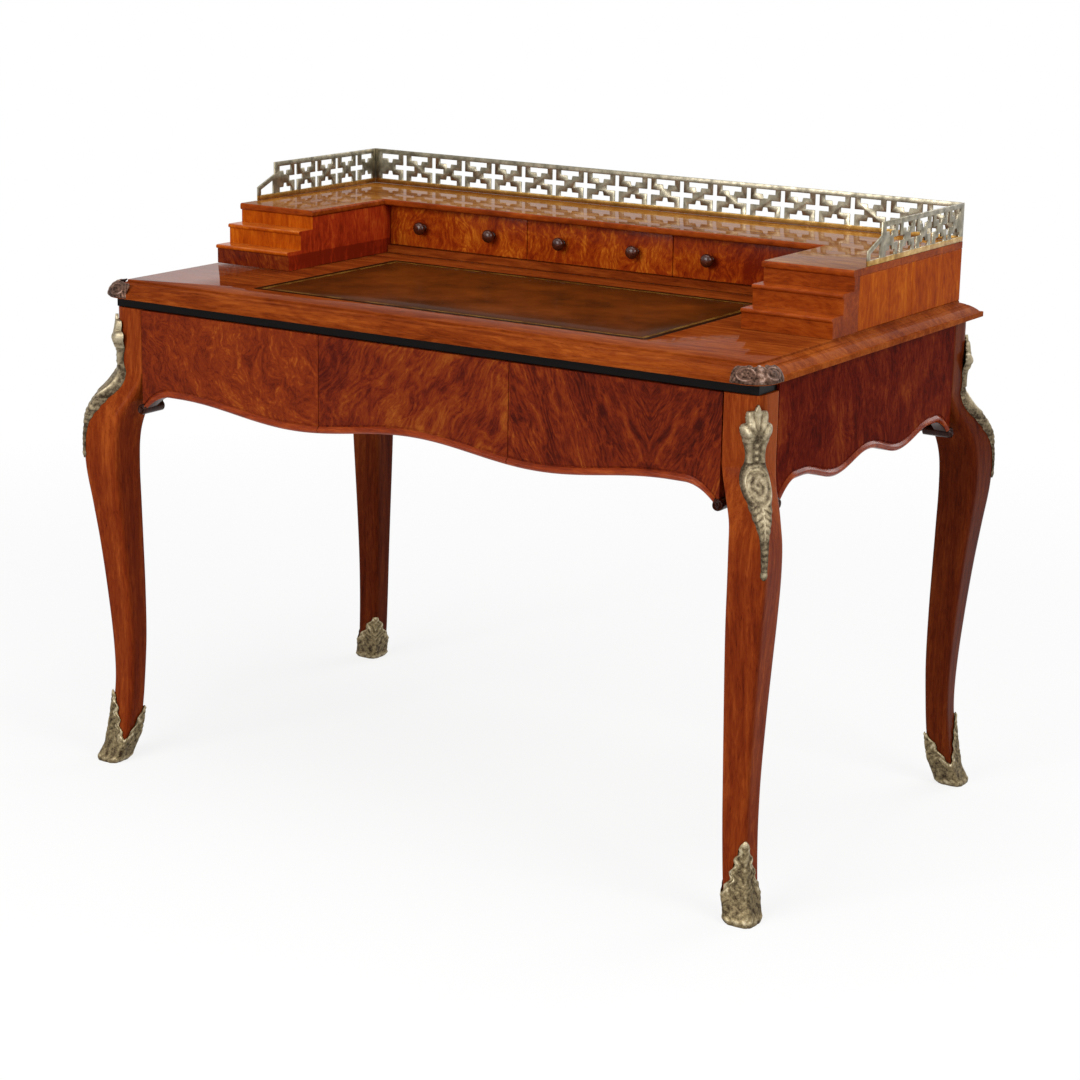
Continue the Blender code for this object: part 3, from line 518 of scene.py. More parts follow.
gilt = cast_brass("worn_gilt_brass", "#42372a", "#867961", "#b1a58b")
MOUNT_BOW = 0.032       # how round the mount bows over the corner
MOUNT_FRONT = 44
MOUNT_BACK = 12
MOUNT_ROWS = 260
for corner in CORNERS:

    def mount_skin(u, v):
        down = MOUNT_LENGTH * v
        z = mount_top - down
        half = mount_half(round(down, 6))
        column = round(u * (MOUNT_FRONT + MOUNT_BACK))
        on_front = column <= MOUNT_FRONT
        x = half * (2 * column / MOUNT_FRONT - 1 if on_front else 1 - 2 * (column - MOUNT_FRONT) / MOUNT_BACK)
        wood = leg_face(z, x, SHOE_GAP)
        lift = FAN_LIFT * bump(down - 0.036, 0.014)
        free = max(leg_face(z, 0.0, SHOE_GAP) + lift - x * x / (2 * MOUNT_BOW) - wood, 0.0)
        back = wood + free * (1 - ramp_up(down, 0.038, 0.058)) * ramp_up(abs(x), 0.005, 0.010)
        if not on_front:
            return on_leg(corner, back, x, z), 0.0
        ornament, depth = mount_ornament(x, down, half)
        eased = sqrt(max(1 - (x / half) ** 8, 0.0))
        crown = smooth_value(MOUNT_CROWN, down, 1) * (1 - 0.6 * (x / half) ** 2)
        wall = MOUNT_WALL - TAIL_THIN * ramp_up(down, 0.148, 0.172)
        thick = (wall + crown + depth * ornament) * eased
        front = max(back + thick, leg_face(z, x, SHOE_GAP + thick) + free * eased)
        return on_leg(corner, front, x, z), 0.12 + 0.88 * ornament

    bm = skin(MOUNT_FRONT + MOUNT_BACK, MOUNT_ROWS, mount_skin)
    piece("brass_knee_mount_" + corner, bm, gilt, "desk", "gilt_brass", "knee_mount_" + corner, sharp=70)

# Aprons
# Boards between the legs, faced with figured veneer, with a serpentine lower edge.
# A bead is worked along the edge under a fine quirk, and each ear ends in a small carved scroll.
# The scrolls and the faces under the aprons are painted a very dark walnut, a painted shade for the shadow
# under the ears.
FRONT_THICK = 0.020
LOBE_DROP = 0.019
LOBE_FLAT = 0.020
EAR_LENGTH = 0.055
EAR_DROP = 0.032
SCROLL_RADIUS = 0.0082
SCROLL_IN = 0.0016      # from the scroll's middle to the leg's head
SCROLL_DEPTH = 0.044
SCROLL_COLUMNS = 48
SCROLL_FACE = 19        # rows on the scroll's face, before the three of its side and back
BEAD_HEIGHT = 0.010
BEAD_OUT = 0.004
BEAD_STEPS = 10
QUIRK = 0.0009
APRON_STEP = 0.003


def apron_foot(place_on, half):
    """Height of an apron's lower edge: two hanging lobes, and an ear beside each leg."""
    away = abs(place_on)
    lobes_end = half - EAR_LENGTH - LOBE_FLAT
    if away < lobes_end:
        return apron_z - LOBE_DROP * sin(pi * away / lobes_end) ** 2
    ear = max(away - (half - EAR_LENGTH), 0.0) / EAR_LENGTH
    return apron_z - EAR_DROP * ear ** 2


def apron_section(foot, top):
    """Section through an apron, out from its face and up: face, quirk, bead, underside and back."""
    neck = foot + BEAD_HEIGHT
    quirk = [(0.0, neck + 3.2 * QUIRK), (-QUIRK, neck + 2.4 * QUIRK), (-QUIRK, neck + QUIRK)]
    bead = [(BEAD_OUT * sin(pi * k / BEAD_STEPS), neck - BEAD_HEIGHT * k / BEAD_STEPS)
            for k in range(BEAD_STEPS + 1)]
    return [(0.0, top)] + quirk + bead + [(-FRONT_THICK, foot), (-FRONT_THICK, top), (0.0, top)]


def apron_board(start, end, half, top, facing, face):
    """Skin of an apron between two places along an axis of the desk, with its end scrolls."""
    def on_apron(along, out, z):
        if facing[0]:
            return Vector((facing[0] * (face + out), along, z))
        return Vector((along, facing[1] * (face + out), z))

    ring = len(apron_section(0, 1)) - 1

    def board_skin(u, v):
        along = start + (end - start) * u
        out, z = apron_section(apron_foot(along, half), top)[round(v * ring)]
        return on_apron(along, out, z)

    bm = skin(round((end - start) / APRON_STEP), ring, board_skin)
    radius = SCROLL_RADIUS
    middle = apron_foot(half, half) + radius
    for sign in (-1, 1):
        centre = sign * (half - SCROLL_IN)
        if not start < centre < end:
            continue

        def scroll_skin(u, v):
            turn = 2 * pi * u
            row = v * (SCROLL_FACE + 3)
            if row <= SCROLL_FACE:
                r = radius * row / SCROLL_FACE
                winding = 1.7 * r / radius + sign * u
                edge = min((radius - r) / 0.0012, 1.0)
                out = BEAD_OUT * (0.35 + 0.65 * sqrt(max(1 - (1 - edge) ** 2, 0)))
                out += 0.0013 * cos(2 * pi * winding) * edge * min(r / 0.002, 1) + 0.0012 * bump(r, 0.0020)
            else:
                r = radius if row < SCROLL_FACE + 2.5 else 0.0
                out = BEAD_OUT - SCROLL_DEPTH if row > SCROLL_FACE + 1.5 else -0.002 * (row - SCROLL_FACE)
            return on_apron(centre + r * sin(turn), out, middle + r * cos(turn))

        skin(SCROLL_COLUMNS, SCROLL_FACE + 3, scroll_skin, into=bm)
    # Faces under the bead and the scrolls take the third finish, the very dark walnut that paints their
    # shade.
    for part in bm.faces:
        spot = part.calc_center_median()
        along, out = (spot.y, spot.x * facing[0]) if facing[0] else (spot.x, spot.y * facing[1])
        out, foot = out - face, apron_foot(along, half)
        bead = out > -0.6 * QUIRK and spot.z < foot + BEAD_HEIGHT
        below = -FRONT_THICK < out < -QUIRK and spot.z < foot + QUIRK
        scroll = hypot(abs(along) - half + SCROLL_IN, spot.z - middle) < 1.02 * radius
        part.material_index = 2 if scroll or below else int(bead)
    return bm


LENGTHWAYS = (0, 90, 0)     # grain that runs along the desk
apron_veneer = french_polish(
    "figured_veneer_side", ("#380a05", "#581509", "#681f0d", "#803614"), figure=(0.045, 0.090),
    streak=(0.008, 0.070), mottle=(0.006, 0.014), turn=(8, 0, 0), swirl=0.06, rings=0.024, shine=0.004)
# A brighter walnut for the bead: partly its own lighter wood, partly a painted highlight for the light its
# round catches.
lit_bead_walnut = french_polish(
    "walnut_bead_painted_highlight", ("#5c1c08", "#7c2c0e", "#8b3712", "#a24c1c"), figure=(0.020, 0.100),
    streak=(0.006, 0.090), mottle=(0.005, 0.030), turn=LENGTHWAYS, rings=0.010, shine=0.10)
# A very dark walnut for the scrolls and the undersides: a painted shade, not a different wood.
shaded_scroll_walnut = french_polish(
    "carved_walnut_painted_shade", ("#1e0a05", "#2c1008", "#38160a", "#4e2412"), figure=(0.010, 0.040),
    streak=(0.004, 0.030), mottle=(0.003, 0.010), swirl=0.004, rings=0.010, shine=0.15)
apron_finish = (apron_veneer, lit_bead_walnut, shaded_scroll_walnut)
SIDES = {"left": -1, "right": 1}
for side, sign in SIDES.items():
    bm = apron_board(-post_y + GAP, post_y - GAP, post_y, under - GAP, (sign, 0), case_x)
    piece("veneered_side_apron_" + side, bm, apron_finish, "desk", "polished_veneer", "side_apron_" + side)
bm = apron_board(-post_x + GAP, post_x - GAP, post_x, under - GAP, (0, 1), case_y)
piece("veneered_rear_apron", bm, apron_finish, "desk", "polished_veneer", "rear_apron")

# Front rail
# A straight rail under the front of the top, painted near black and polished: partly a dark rail,
# partly a painted shade for the deep shadow under the top's overhang.
# It is let into the front legs' heads, and the frieze drawers close below it.


def dress(finish, *names):
    """Give solids of the frame a finish."""
    for name in names:
        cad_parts[name].material_slots[0].material = finish


shadow_black_walnut = french_polish(
    "near_black_walnut_painted_shade", ("#050303", "#080504", "#0b0706", "#120b08"), figure=(0.020, 0.200),
    streak=(0.006, 0.200), mottle=(0.004, 0.030), turn=LENGTHWAYS, gloss=0.35, shine=0.08)
dress(shadow_black_walnut, "front_rail")

# Frieze drawers
# Three drawers without handles, pulled by the lower edge of their fronts. The fronts are faced with
# walnut curls; the centre leaf arches towards the joint, and the right one opens as a plume.
# Boxes, runners and dividers are plain planed wood.
SEAM = 0.165
DRAWER_GAP = 0.001
FRONTS = {
    "left": (-post_x + DRAWER_GAP, -SEAM - DRAWER_GAP / 2),
    "centre": (-SEAM + DRAWER_GAP / 2, SEAM - DRAWER_GAP / 2),
    "right": (SEAM + DRAWER_GAP / 2, post_x - DRAWER_GAP),
}
PLUME = 0.392           # middle of the plume on the right-hand front
front_veneer = {
    "left": french_polish(
        "walnut_burr_front", ("#511606", "#6f260b", "#7d300d", "#9c5019"), figure=(0.034, 0.055),
        streak=(0.008, 0.030), mottle=(0.005, 0.008), turn=(0, -28, 0), leaf=(0.31, 0, 0.12), swirl=0.08,
        curl=0.07, rings=0.026, shade=(0, -0.46, -0.30, 0.04)),
    "centre": french_polish(
        "walnut_curl_centre", ("#430f06", "#68210b", "#78300d", "#8e4816"), figure=(0.046, 0.110),
        streak=(0.008, 0.090), mottle=(0.005, 0.011), turn=(0, -34, 0), book=SEAM, leaf=(0.07, 0, 0.03),
        swirl=0.07, rings=0.036, shade=(0, -SEAM, -0.06, 0.06)),
    "right": french_polish(
        "walnut_plume_right", ("#3a0d05", "#611d09", "#732a0c", "#8e4615"), figure=(0.030, 0.120),
        streak=(0.008, 0.100), mottle=(0.005, 0.012), turn=(0, 27, 0), book=PLUME, leaf=(0.02, 0, 0.05),
        swirl=0.05, rings=0.040, shade=(0, 0.32, SEAM, 0.05)),
}
lining = french_polish(
    "planed_lining", ("#6a4526", "#86603a", "#9a7248", "#b08a5c"), figure=(0.050, 0.400),
    streak=(0.006, 0.300), mottle=(0.005, 0.050), turn=(90, 0, 0), veins=0.04, gloss=0.55, shine=0.3)
for name, (start, end) in FRONTS.items():
    drawer = "frieze_drawer_" + name
    bm = apron_board(start, end, post_x, rail_z - DRAWER_GAP, (0, -1), case_y)
    piece("veneered_front_" + name, bm, (front_veneer[name], lit_bead_walnut, shaded_scroll_walnut), drawer,
          "polished_veneer", drawer + "_front")
    dress(lining, drawer + "_box")
dress(lining, *("drawer_" + kind + "_" + side for kind in ("divider", "runner") for side in SIDES))

# Top
# A veneered top with a moulding glued round its edge: a lip, a ledge, a quarter round with a fine
# groove, and a fillet. The front corners are rounded, the rear corners square, and the leather is
# let into the middle.
MOULD_WIDTH = 0.028
LIP = 0.008
LEDGE = 0.004
FILLET = 0.003
TOP_RADIUS = 0.034
RECESS = 0.0016
EASE = 0.0008
ROUND_STEPS = 16
GROOVE_STEP = 11        # where the groove lies on the quarter round
GROOVE = 0.0011
CORNER_STEPS = 14
SQUARE = 0.0002         # what is left of a square corner's rounding
LEATHER_ROUND = 0.007
leather_low, leather_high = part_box("leather_inset")


def edge_profile():
    """Moulded edge of the top from its underside up, as inset and height."""
    rise, run = under + LIP, MOULD_WIDTH - LEDGE
    height = top_z - rise - FILLET
    lip = [(EASE, under), (EASE * 0.3, under + EASE * 0.3), (0.0, under + EASE), (0.0, rise - EASE),
           (EASE * 0.3, rise - EASE * 0.3), (EASE, rise), (LEDGE - 0.0004, rise)]
    quarter = []
    for i in range(ROUND_STEPS + 1):
        a = pi / 2 * i / ROUND_STEPS
        quarter.append((LEDGE + run * (0.4 * (1 - cos(a)) + 1.2 * a / pi),
                        rise + height * (0.4 * sin(a) + 1.2 * a / pi)))
    place, before, after = (Vector(quarter[GROOVE_STEP + k]) for k in (0, -1, 1))
    way = (after - before).normalized()
    groove = [place - way * GROOVE, place + Vector((way.y, -way.x)) * GROOVE, place + way * GROOVE]
    quarter[GROOVE_STEP:GROOVE_STEP + 1] = [tuple(spot) for spot in groove]
    fillet = [(MOULD_WIDTH, top_z - EASE), (MOULD_WIDTH + EASE * 0.3, top_z - EASE * 0.3),
              (MOULD_WIDTH + EASE, top_z)]
    return lip + quarter + fillet


def plan_point(station, low, high, rounds):
    """Point on a rectangle with rounded corners; stations count round it from the front right."""
    corner, step = divmod(station, CORNER_STEPS + 1)
    turn = pi / 2 * (corner + step / CORNER_STEPS) - pi / 2
    sx, sy = ((1, -1), (1, 1), (-1, 1), (-1, -1))[corner]
    radius = rounds[corner]
    x = high.x - radius if sx > 0 else low.x + radius
    y = high.y - radius if sy > 0 else low.y + radius
    return x + radius * cos(turn), y + radius * sin(turn)


def top_ring(station, inset, z):
    """Point on the top's outline, moved in from its edge."""
    edge = Vector((half_w - inset, half_d - inset))
    front = max(TOP_RADIUS - inset, SQUARE)
    return Vector((*plan_point(station, -edge, edge, (front, SQUARE, SQUARE, front)), z))


def recess_ring(station, grow, z):
    """Point on the leather's outline, grown by a width."""
    reach = Vector((grow, grow, 0))
    rounds = (LEATHER_ROUND + grow,) * 4
    return Vector((*plan_point(station, leather_low - reach, leather_high + reach, rounds), z))


STATIONS = 4 * (CORNER_STEPS + 1)
profile = edge_profile()
recess_lip = ((GAP + 0.0005, top_z), (GAP, top_z - 0.0005), (GAP, top_z - RECESS))


def top_skin(u, v):
    station = round(u * STATIONS) % STATIONS
    row = round(v * (len(profile) + len(recess_lip) - 1))
    if row < len(profile):
        return top_ring(station, *profile[row])
    return recess_ring(station, *recess_lip[row - len(profile)])


# The top is painted lighter towards its right-hand edge (a negative shade), a painted highlight on the right
# moulding.
top_walnut = french_polish(
    "polished_walnut_top", ("#541d08", "#74300e", "#843c13", "#9b4f1d"), figure=(0.050, 0.260),
    streak=(0.007, 0.200), mottle=(0.006, 0.040), turn=LENGTHWAYS, curl=0.25, swirl=0.04, gloss=0.05,
    shine=0.004, shade=(0, 0.555, 0.515, -0.08))
bm = skin(STATIONS, len(profile) + len(recess_lip) - 1, top_skin)
piece("moulded_walnut_top", bm, top_walnut, "desk", "figured_walnut", "desk_top", sharp=30)

# Leather
# A skiver of dark green-brown leather glued into the top, flush with the wood and waxed.
# A fine double line is tooled round it with a hot wheel, where gold leaf still holds in part.
leather_mid = (leather_low + leather_high) / 2
leather_half = (leather_high - leather_low) / 2
TOOLED = (0.011, 0.0145)
TOOLED_WIDTH = 0.0011
TOOLED_DEPTH = 0.00025
LEATHER_EDGE = 0.0003   # how far its edge is turned down
LEATHER_RINGS = (0.0, 0.0003, 0.0075, 0.0100, 0.0105, 0.0110, 0.0115, 0.0120, 0.0140, 0.0145, 0.0150,
                 0.0155, 0.05)


def leather_skin(u, v):
    station = round(u * STATIONS) % STATIONS
    row = round(v * len(LEATHER_RINGS))
    if row == 0:
        return recess_ring(station, 0.0, leather_low.z)
    inset = LEATHER_RINGS[row - 1]
    pressed = sum(TOOLED_DEPTH * bump(inset - line, 0.0006) for line in TOOLED)
    turned_down = LEATHER_EDGE if inset == 0.0 else 0.0
    corner_safe = min(inset, LEATHER_ROUND - 0.0005)
    ring = recess_ring(station, -corner_safe, leather_high.z - pressed - turned_down)
    shrink = inset - corner_safe
    aside = shrink if ring.x > 0 else -shrink
    back = shrink if ring.y > leather_mid.y else -shrink
    return ring - Vector((aside, back, 0))


def tooled_leather(name):
    """Vegetable-tanned leather, dyed and waxed: fine pebbled grain, cloudy colour, a soft gloss.
    The tooled lines and the darker border are worked out from the distance to the inset's edge."""
    mat, tree, shader = new_material(name)
    place = node(tree, "TexCoord").outputs["Object"]
    centred = node(tree, "VectorMath", (place, leather_mid), operation="SUBTRACT")
    reach = node(tree, "VectorMath", (centred,), operation="ABSOLUTE")
    inside = node(tree, "VectorMath", (leather_half, reach), operation="SUBTRACT")
    split = node(tree, "SeparateXYZ", (inside,)).outputs
    edge = node(tree, "Math", (split[0], split[1]), operation="MINIMUM")
    gold = 0.0
    for line in TOOLED:
        off = node(tree, "Math", (edge, line), operation="SUBTRACT")
        off = node(tree, "Math", (off,), operation="ABSOLUTE")
        shown = node(tree, "MapRange", (off, TOOLED_WIDTH * 0.35, TOOLED_WIDTH * 0.6, 1.0, 0.0))
        gold = node(tree, "Math", (gold, shown), operation="MAXIMUM")
    wear = node(tree, "TexNoise", {"Vector": place, "Scale": 1 / 0.02, "Detail": 4.0})
    left = node(tree, "MapRange", (wear, 0.36, 0.60, 0.1, 0.9))
    gold = node(tree, "Math", (gold, left), operation="MULTIPLY")
    clouds = node(tree, "TexNoise", {"Vector": place, "Scale": 1 / 0.11, "Detail": 5.0, "Roughness": 0.6})
    colour = node(tree, "ValToRGB", (clouds,), stops=((0.3, "#3c1c08"), (0.5, "#58280a"), (0.72, "#6e340d")))
    for near, far, share, dark in ((0.008, 0.085, 0.62, "#2b1705"), (0.006, 0.009, 0.85, "#140d06")):
        shown = node(tree, "MapRange", (edge, near, far, share, 0.0))
        colour = node(tree, "Mix", {0: shown, 6: colour, 7: linear(dark)}, data_type="RGBA").outputs[2]
    colour = node(tree, "Mix", {0: gold, 6: colour, 7: linear("#a07c34")}, data_type="RGBA").outputs[2]
    grain = node(tree, "TexVoronoi", {"Vector": place, "Scale": 1 / 0.0012, "Randomness": 1.0},
                 feature="SMOOTH_F1")
    pebbled = node(tree, "Bump", {"Strength": 0.10, "Distance": 0.0002, "Height": grain})
    waxed = node(tree, "MapRange", (clouds, 0.3, 0.7, 0.10, 0.18))
    wire(shader, {"Base Color": colour, "Roughness": waxed, "Normal": pebbled, "Specular IOR Level": 0.002})
    return mat


hide = tooled_leather("waxed_green_brown_leather")
bm = skin(STATIONS, len(LEATHER_RINGS), leather_skin)
piece("leather_writing_surface", bm, hide, "desk", "tooled_leather", "leather_inset")

# Corner mounts
# Cast mounts pinned round the rounded front corners of the top, darker than the others because
# sleeves and dusters have taken their gilding. Each has two oval scrolls and leafy ends.
CLASP_ARM = 0.018
CLASP_RISE = 0.0225
CLASP_RUN = 0.0245
CLASP_LIFT = 0.0012     # from the top's underside to the mount's lower edge
CLASP_GIRTH = 0.0235    # length over the moulding for each radian of it
CLASP_WALL = 0.0008
CLASP_DEPTH = 0.0021    # of the chasing
CLASP_TAPER = 0.012
CLASP_OVALS = (-0.0225, 0.0225)     # the ovals' places along the mount, their height and half sizes
OVAL_UP, OVAL_HIGH, OVAL_LONG = 0.0135, 0.0100, 0.0160
CLASP_COLUMNS = 110
CLASP_FRONT = 34
CLASP_BACK = 8
clasp_length = 2 * CLASP_ARM + pi / 2 * TOP_RADIUS
dark_brass = cast_brass("dark_bronzed_brass", "#2b1d17", "#6a5043", "#a58d80", gloss=0.44)


def clasp_ornament(along, up):
    """Height of the chasing on the corner mount, from 0 to 1: two scrolled ovals tied by a leaf,
    with slanting gadroons between them and the ends."""
    ovals = inside = 0.0
    for at in CLASP_OVALS:
        ovals = max(ovals, shell_oval(up - OVAL_UP, along - at, OVAL_HIGH, OVAL_LONG, 0.35))
        inside = max(inside, bump(hypot((up - OVAL_UP) / OVAL_HIGH, (along - at) / OVAL_LONG), 0.9))
    leaf = bump(along, 0.0060) * (0.55 + 0.45 * abs(sin(pi * (up - 0.8 * abs(along)) / 0.0075)))
    gadroons = 0.5 * abs(sin(pi * (abs(along) + 0.5 * up) / 0.0062)) ** 0.7
    return max(ovals, leaf, gadroons * (1 - inside))


for side, sign in SIDES.items():

    def clasp_skin(u, v):
        along = clasp_length * (u - 0.5)
        straight = clasp_length / 2 - CLASP_ARM
        bend = min(max(along, -straight), straight)
        turn = pi / 4 + bend / TOP_RADIUS
        reach = along - bend
        base = Vector((half_w - TOP_RADIUS + min(reach, 0), TOP_RADIUS - half_d + max(reach, 0)))
        outward = Vector((sin(turn), -cos(turn)))
        taper = min((clasp_length / 2 - abs(along)) / CLASP_TAPER, 1.0)
        wave = 0.08 * cos(2 * pi * along / CLASP_OVALS[1])
        height = 1.20 + wave - 0.50 * (1 - sqrt(max(1 - (1 - taper) ** 2, 0)))
        row = round(v * (CLASP_FRONT + CLASP_BACK))
        ornament, wall = 0.0, SHOE_GAP
        share = row / CLASP_FRONT
        if row <= CLASP_FRONT:
            ornament = clasp_ornament(along, share * height * CLASP_GIRTH)
            eased = sqrt(max(1 - (2 * share - 1) ** 8, 0)) * min(taper * 2, 1)
            wall += (CLASP_WALL + CLASP_DEPTH * ornament) * eased
        else:
            share = 1 - (row - CLASP_FRONT) / CLASP_BACK
        angle = share * height
        inset = CLASP_RUN * (1 - cos(angle)) - wall * cos(angle)
        z = under + CLASP_LIFT + (CLASP_RISE + wall) * sin(angle)
        spot = base + outward * (TOP_RADIUS - inset)
        return Vector((sign * spot.x, spot.y, z)), 0.1 + 0.9 * ornament

    bm = skin(CLASP_COLUMNS, CLASP_FRONT + CLASP_BACK, clasp_skin)
    piece("bronzed_corner_mount_" + side, bm, dark_brass, "desk", "gilt_brass", "corner_mount_" + side,
          sharp=70)

# Stand
# A low stand, U-shaped in plan, glued and screwed to the top. Each arm climbs in front by three
# steps with rounded nosings; boards close its sides, and a plinth runs below the small drawers.
NOSE_THICK = 0.006
NOSE_OUT = 0.004
NOSE_ROUND = 0.0026
STEP_RUN = 0.0305
STEPS = 3
board_low, board_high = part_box("stand_top_board")
rise = (board_high.z - top_z) / STEPS
PLINTH = top_z + rise - NOSE_THICK      # the arms are darker below the lowest tread
PLINTH_EDGE = 0.0015
stand_veneer = french_polish(
    "orange_walnut_veneer", ("#832f08", "#a0440a", "#ae500d", "#c46916"), veins=0.03, shine=0.010,
    shade=(1, 0.36, 0.06, 0.06))
tread_walnut = french_polish(
    "polished_tread_walnut", ("#8c3c12", "#a65018", "#b25c1e", "#c57530"), turn=LENGTHWAYS, gloss=0.14,
    shine=0.12)
# A darker, redder copy of the stand's veneer for the arms' inner sides and the steps' inner ends: a painted
# shade for the sides turned from the light. It is darker still below the lowest tread.
shaded_red_veneer = french_polish(
    "red_walnut_veneer_painted_shade", ("#731f0b", "#992e12", "#aa3a15", "#bd551e"), figure=(0.040, 0.090),
    streak=(0.008, 0.070), mottle=(0.006, 0.016), rings=0.03,
    shade=(2, PLINTH - PLINTH_EDGE, PLINTH + PLINTH_EDGE, 0.17))
brown_veneer = french_polish(
    "brown_walnut_veneer", ("#6a2709", "#84350c", "#923f10", "#a6501a"), turn=LENGTHWAYS, veins=0.04,
    shine=0.03)
# Risers, treads, inner side and lowest riser
step_finish = {"left": (stand_veneer, tread_walnut, shaded_red_veneer, front_veneer["right"]),
               "right": (brown_veneer, brown_veneer, shaded_red_veneer, brown_veneer)}


def edges_along(bm, axis, places):
    """Edges that run along an axis through the given places on the other two."""
    others = [i for i in range(3) if i != axis]
    found = []
    for edge in bm.edges:
        a, b = (v.co for v in edge.verts)
        if all(abs(a[i] - b[i]) < 1e-6 for i in others):
            if any(all(abs(a[i] - p) < 1e-5 for i, p in zip(others, spot)) for spot in places):
                found.append(edge)
    return found


def rounded(bm, edges, radius, steps):
    """Round edges off."""
    bmesh.ops.bevel(bm, geom=edges, offset=radius, affect="EDGES", segments=steps, profile=0.5, material=-1)


def prism(outline, shift):
    """A flat outline drawn out along a vector."""
    bm = bmesh.new()
    face = bm.faces.new([bm.verts.new(point) for point in outline])
    drawn = bmesh.ops.extrude_face_region(bm, geom=[face])["geom"]
    bmesh.ops.translate(bm, vec=shift, verts=[v for v in drawn if isinstance(v, bmesh.types.BMVert)])
    return bm


steps_low, steps_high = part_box("steps_right")
stairs = [(steps_high.y, steps_low.z), (steps_low.y + NOSE_OUT, steps_low.z)]
noses = []
for i in range(STEPS - 1):
    y, tread = steps_low.y + i * STEP_RUN, top_z + (i + 1) * rise
    nose = [(y, tread - NOSE_THICK), (y, tread)]
    noses += nose
    stairs += [(y + NOSE_OUT, tread - NOSE_THICK), *nose, (y + STEP_RUN + NOSE_OUT, tread)]
stairs += [(board_low.y + NOSE_OUT, steps_high.z), (steps_high.y, steps_high.z)]
for side, sign in SIDES.items():
    low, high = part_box("steps_" + side)
    bm = prism([(low.x, y, z) for y, z in stairs], Vector((high.x - low.x, 0, 0)))
    rounded(bm, edges_along(bm, 0, noses), NOSE_ROUND, 5)
    bmesh.ops.recalc_face_normals(bm, faces=bm.faces)
    for face in bm.faces:
        lowest = face.calc_center_median().z < top_z + 0.8 * rise and face.normal.y < -0.5
        inward = face.normal.x * sign < -0.5
        face.material_index = 1 if face.normal.z > 0.4 else 2 if inward else 3 if lowest else 0
    piece("nosed_steps_" + side, bm, step_finish[side], "desk", "polished_veneer", "steps_" + side)
    dress(stand_veneer, "arm_outer_side_" + side, "bank_end_" + side)
    dress(shaded_red_veneer, "arm_inner_side_" + side)
    dress(lining, "bank_divider_" + side)
dress(top_walnut, "bank_plinth", "bank_back")

# Small drawers
# Three small drawers between the arms, each with a veneered front and two knobs turned from dark
# wood, waxed and worn bright in the middle. Their boxes are plain.
small_veneer = french_polish(
    "small_drawer_veneer", ("#6a1c07", "#8c320b", "#a0450e", "#c46c1c"), figure=(0.038, 0.070),
    streak=(0.006, 0.050), mottle=(0.005, 0.010), turn=(0, 6, 0), curl=0.06, swirl=0.04, rings=0.035,
    shade=(0, 0.36, 0.10, 0.12))
knob_wood = french_polish(
    "dark_turned_wood", ("#240c07", "#3a160b", "#4a1f10", "#66341f"), figure=(0.008, 0.030),
    streak=(0.002, 0.030), mottle=(0.002, 0.010), turn=(90, 0, 0), swirl=0.003, gloss=0.22, shine=0.4)
FRONT_ROUND = 0.0011
KNOB_LENGTH = 0.020
KNOB_RADIUS = 0.0105
KNOB_STEPS = 36
ball = KNOB_LENGTH * 0.375
# Radius and distance from the drawer's front: foot, neck, ball and the worn middle
turned = [(0.0, 0.0), (0.0060, 0.0), (0.0062, 0.0004), (0.0062, 0.0014), (0.0058, 0.0020), (0.0046, 0.0026),
          (0.0042, 0.0036), (0.0044, 0.0048), (0.0054, 0.0062)]
turned += [(KNOB_RADIUS * cos(radians(a)), KNOB_LENGTH - ball + ball * sin(radians(a)))
           for a in range(-48, 78, 9)]
turned += [(0.0022, KNOB_LENGTH - 0.0004), (0.0, KNOB_LENGTH - 0.0003)]
for name in FRONTS:
    drawer = "small_drawer_" + name
    low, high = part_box(drawer + "_front")
    bm = bmesh.new()
    bmesh.ops.create_cube(bm, size=1.0)
    bmesh.ops.scale(bm, vec=high - low, verts=bm.verts)
    bmesh.ops.translate(bm, vec=(low + high) / 2, verts=bm.verts)
    rounded(bm, bm.edges[:], FRONT_ROUND, 3)
    piece("veneered_small_front_" + name, bm, small_veneer, drawer, "polished_veneer", drawer + "_front")
    dress(lining, drawer + "_box")
    for hand in SIDES:
        part = drawer + "_knob_" + hand
        low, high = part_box(part)
        centre = Vector(((low.x + high.x) / 2, high.y, (low.z + high.z) / 2))
        bm = bmesh.new()
        verts = [bm.verts.new((centre.x + r, high.y - h, centre.z)) for r, h in turned]
        line = [bm.edges.new(pair) for pair in zip(verts, verts[1:])]
        bmesh.ops.spin(bm, geom=verts + line, cent=centre, axis=(0, 1, 0), dvec=(0, 0, 0), angle=2 * pi,
                       steps=KNOB_STEPS, use_merge=True)
        bmesh.ops.remove_doubles(bm, verts=bm.verts, dist=MERGE)
        piece("turned_" + part, bm, knob_wood, drawer, "turned_knob", part)

# Stand board
# One veneered board, cut to a U, covers the stand. Its front edges are rounded like the nosings
# of the steps, and it is polished like the top, so the gallery mirrors in it.
BOARD_ARM = 0.144
BOARD_ROUND = 0.0032
bank_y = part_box("arm_outer_side_right")[1].y + GAP / 2
arm_x = board_high.x - BOARD_ARM
plan = [(board_low.x, board_low.y), (-arm_x, board_low.y), (-arm_x, bank_y), (arm_x, bank_y),
        (arm_x, board_low.y), (board_high.x, board_low.y), (board_high.x, board_high.y),
        (board_low.x, board_high.y)]
bm = prism([(x, y, board_low.z) for x, y in plan], Vector((0, 0, board_high.z - board_low.z)))
levels = (board_low.z, board_high.z)
front = edges_along(bm, 0, [(y, z) for y in (board_low.y, bank_y) for z in levels])
front += edges_along(bm, 1, [(x, z) for x in (-arm_x, arm_x) for z in levels])
rounded(bm, front, BOARD_ROUND, 5)
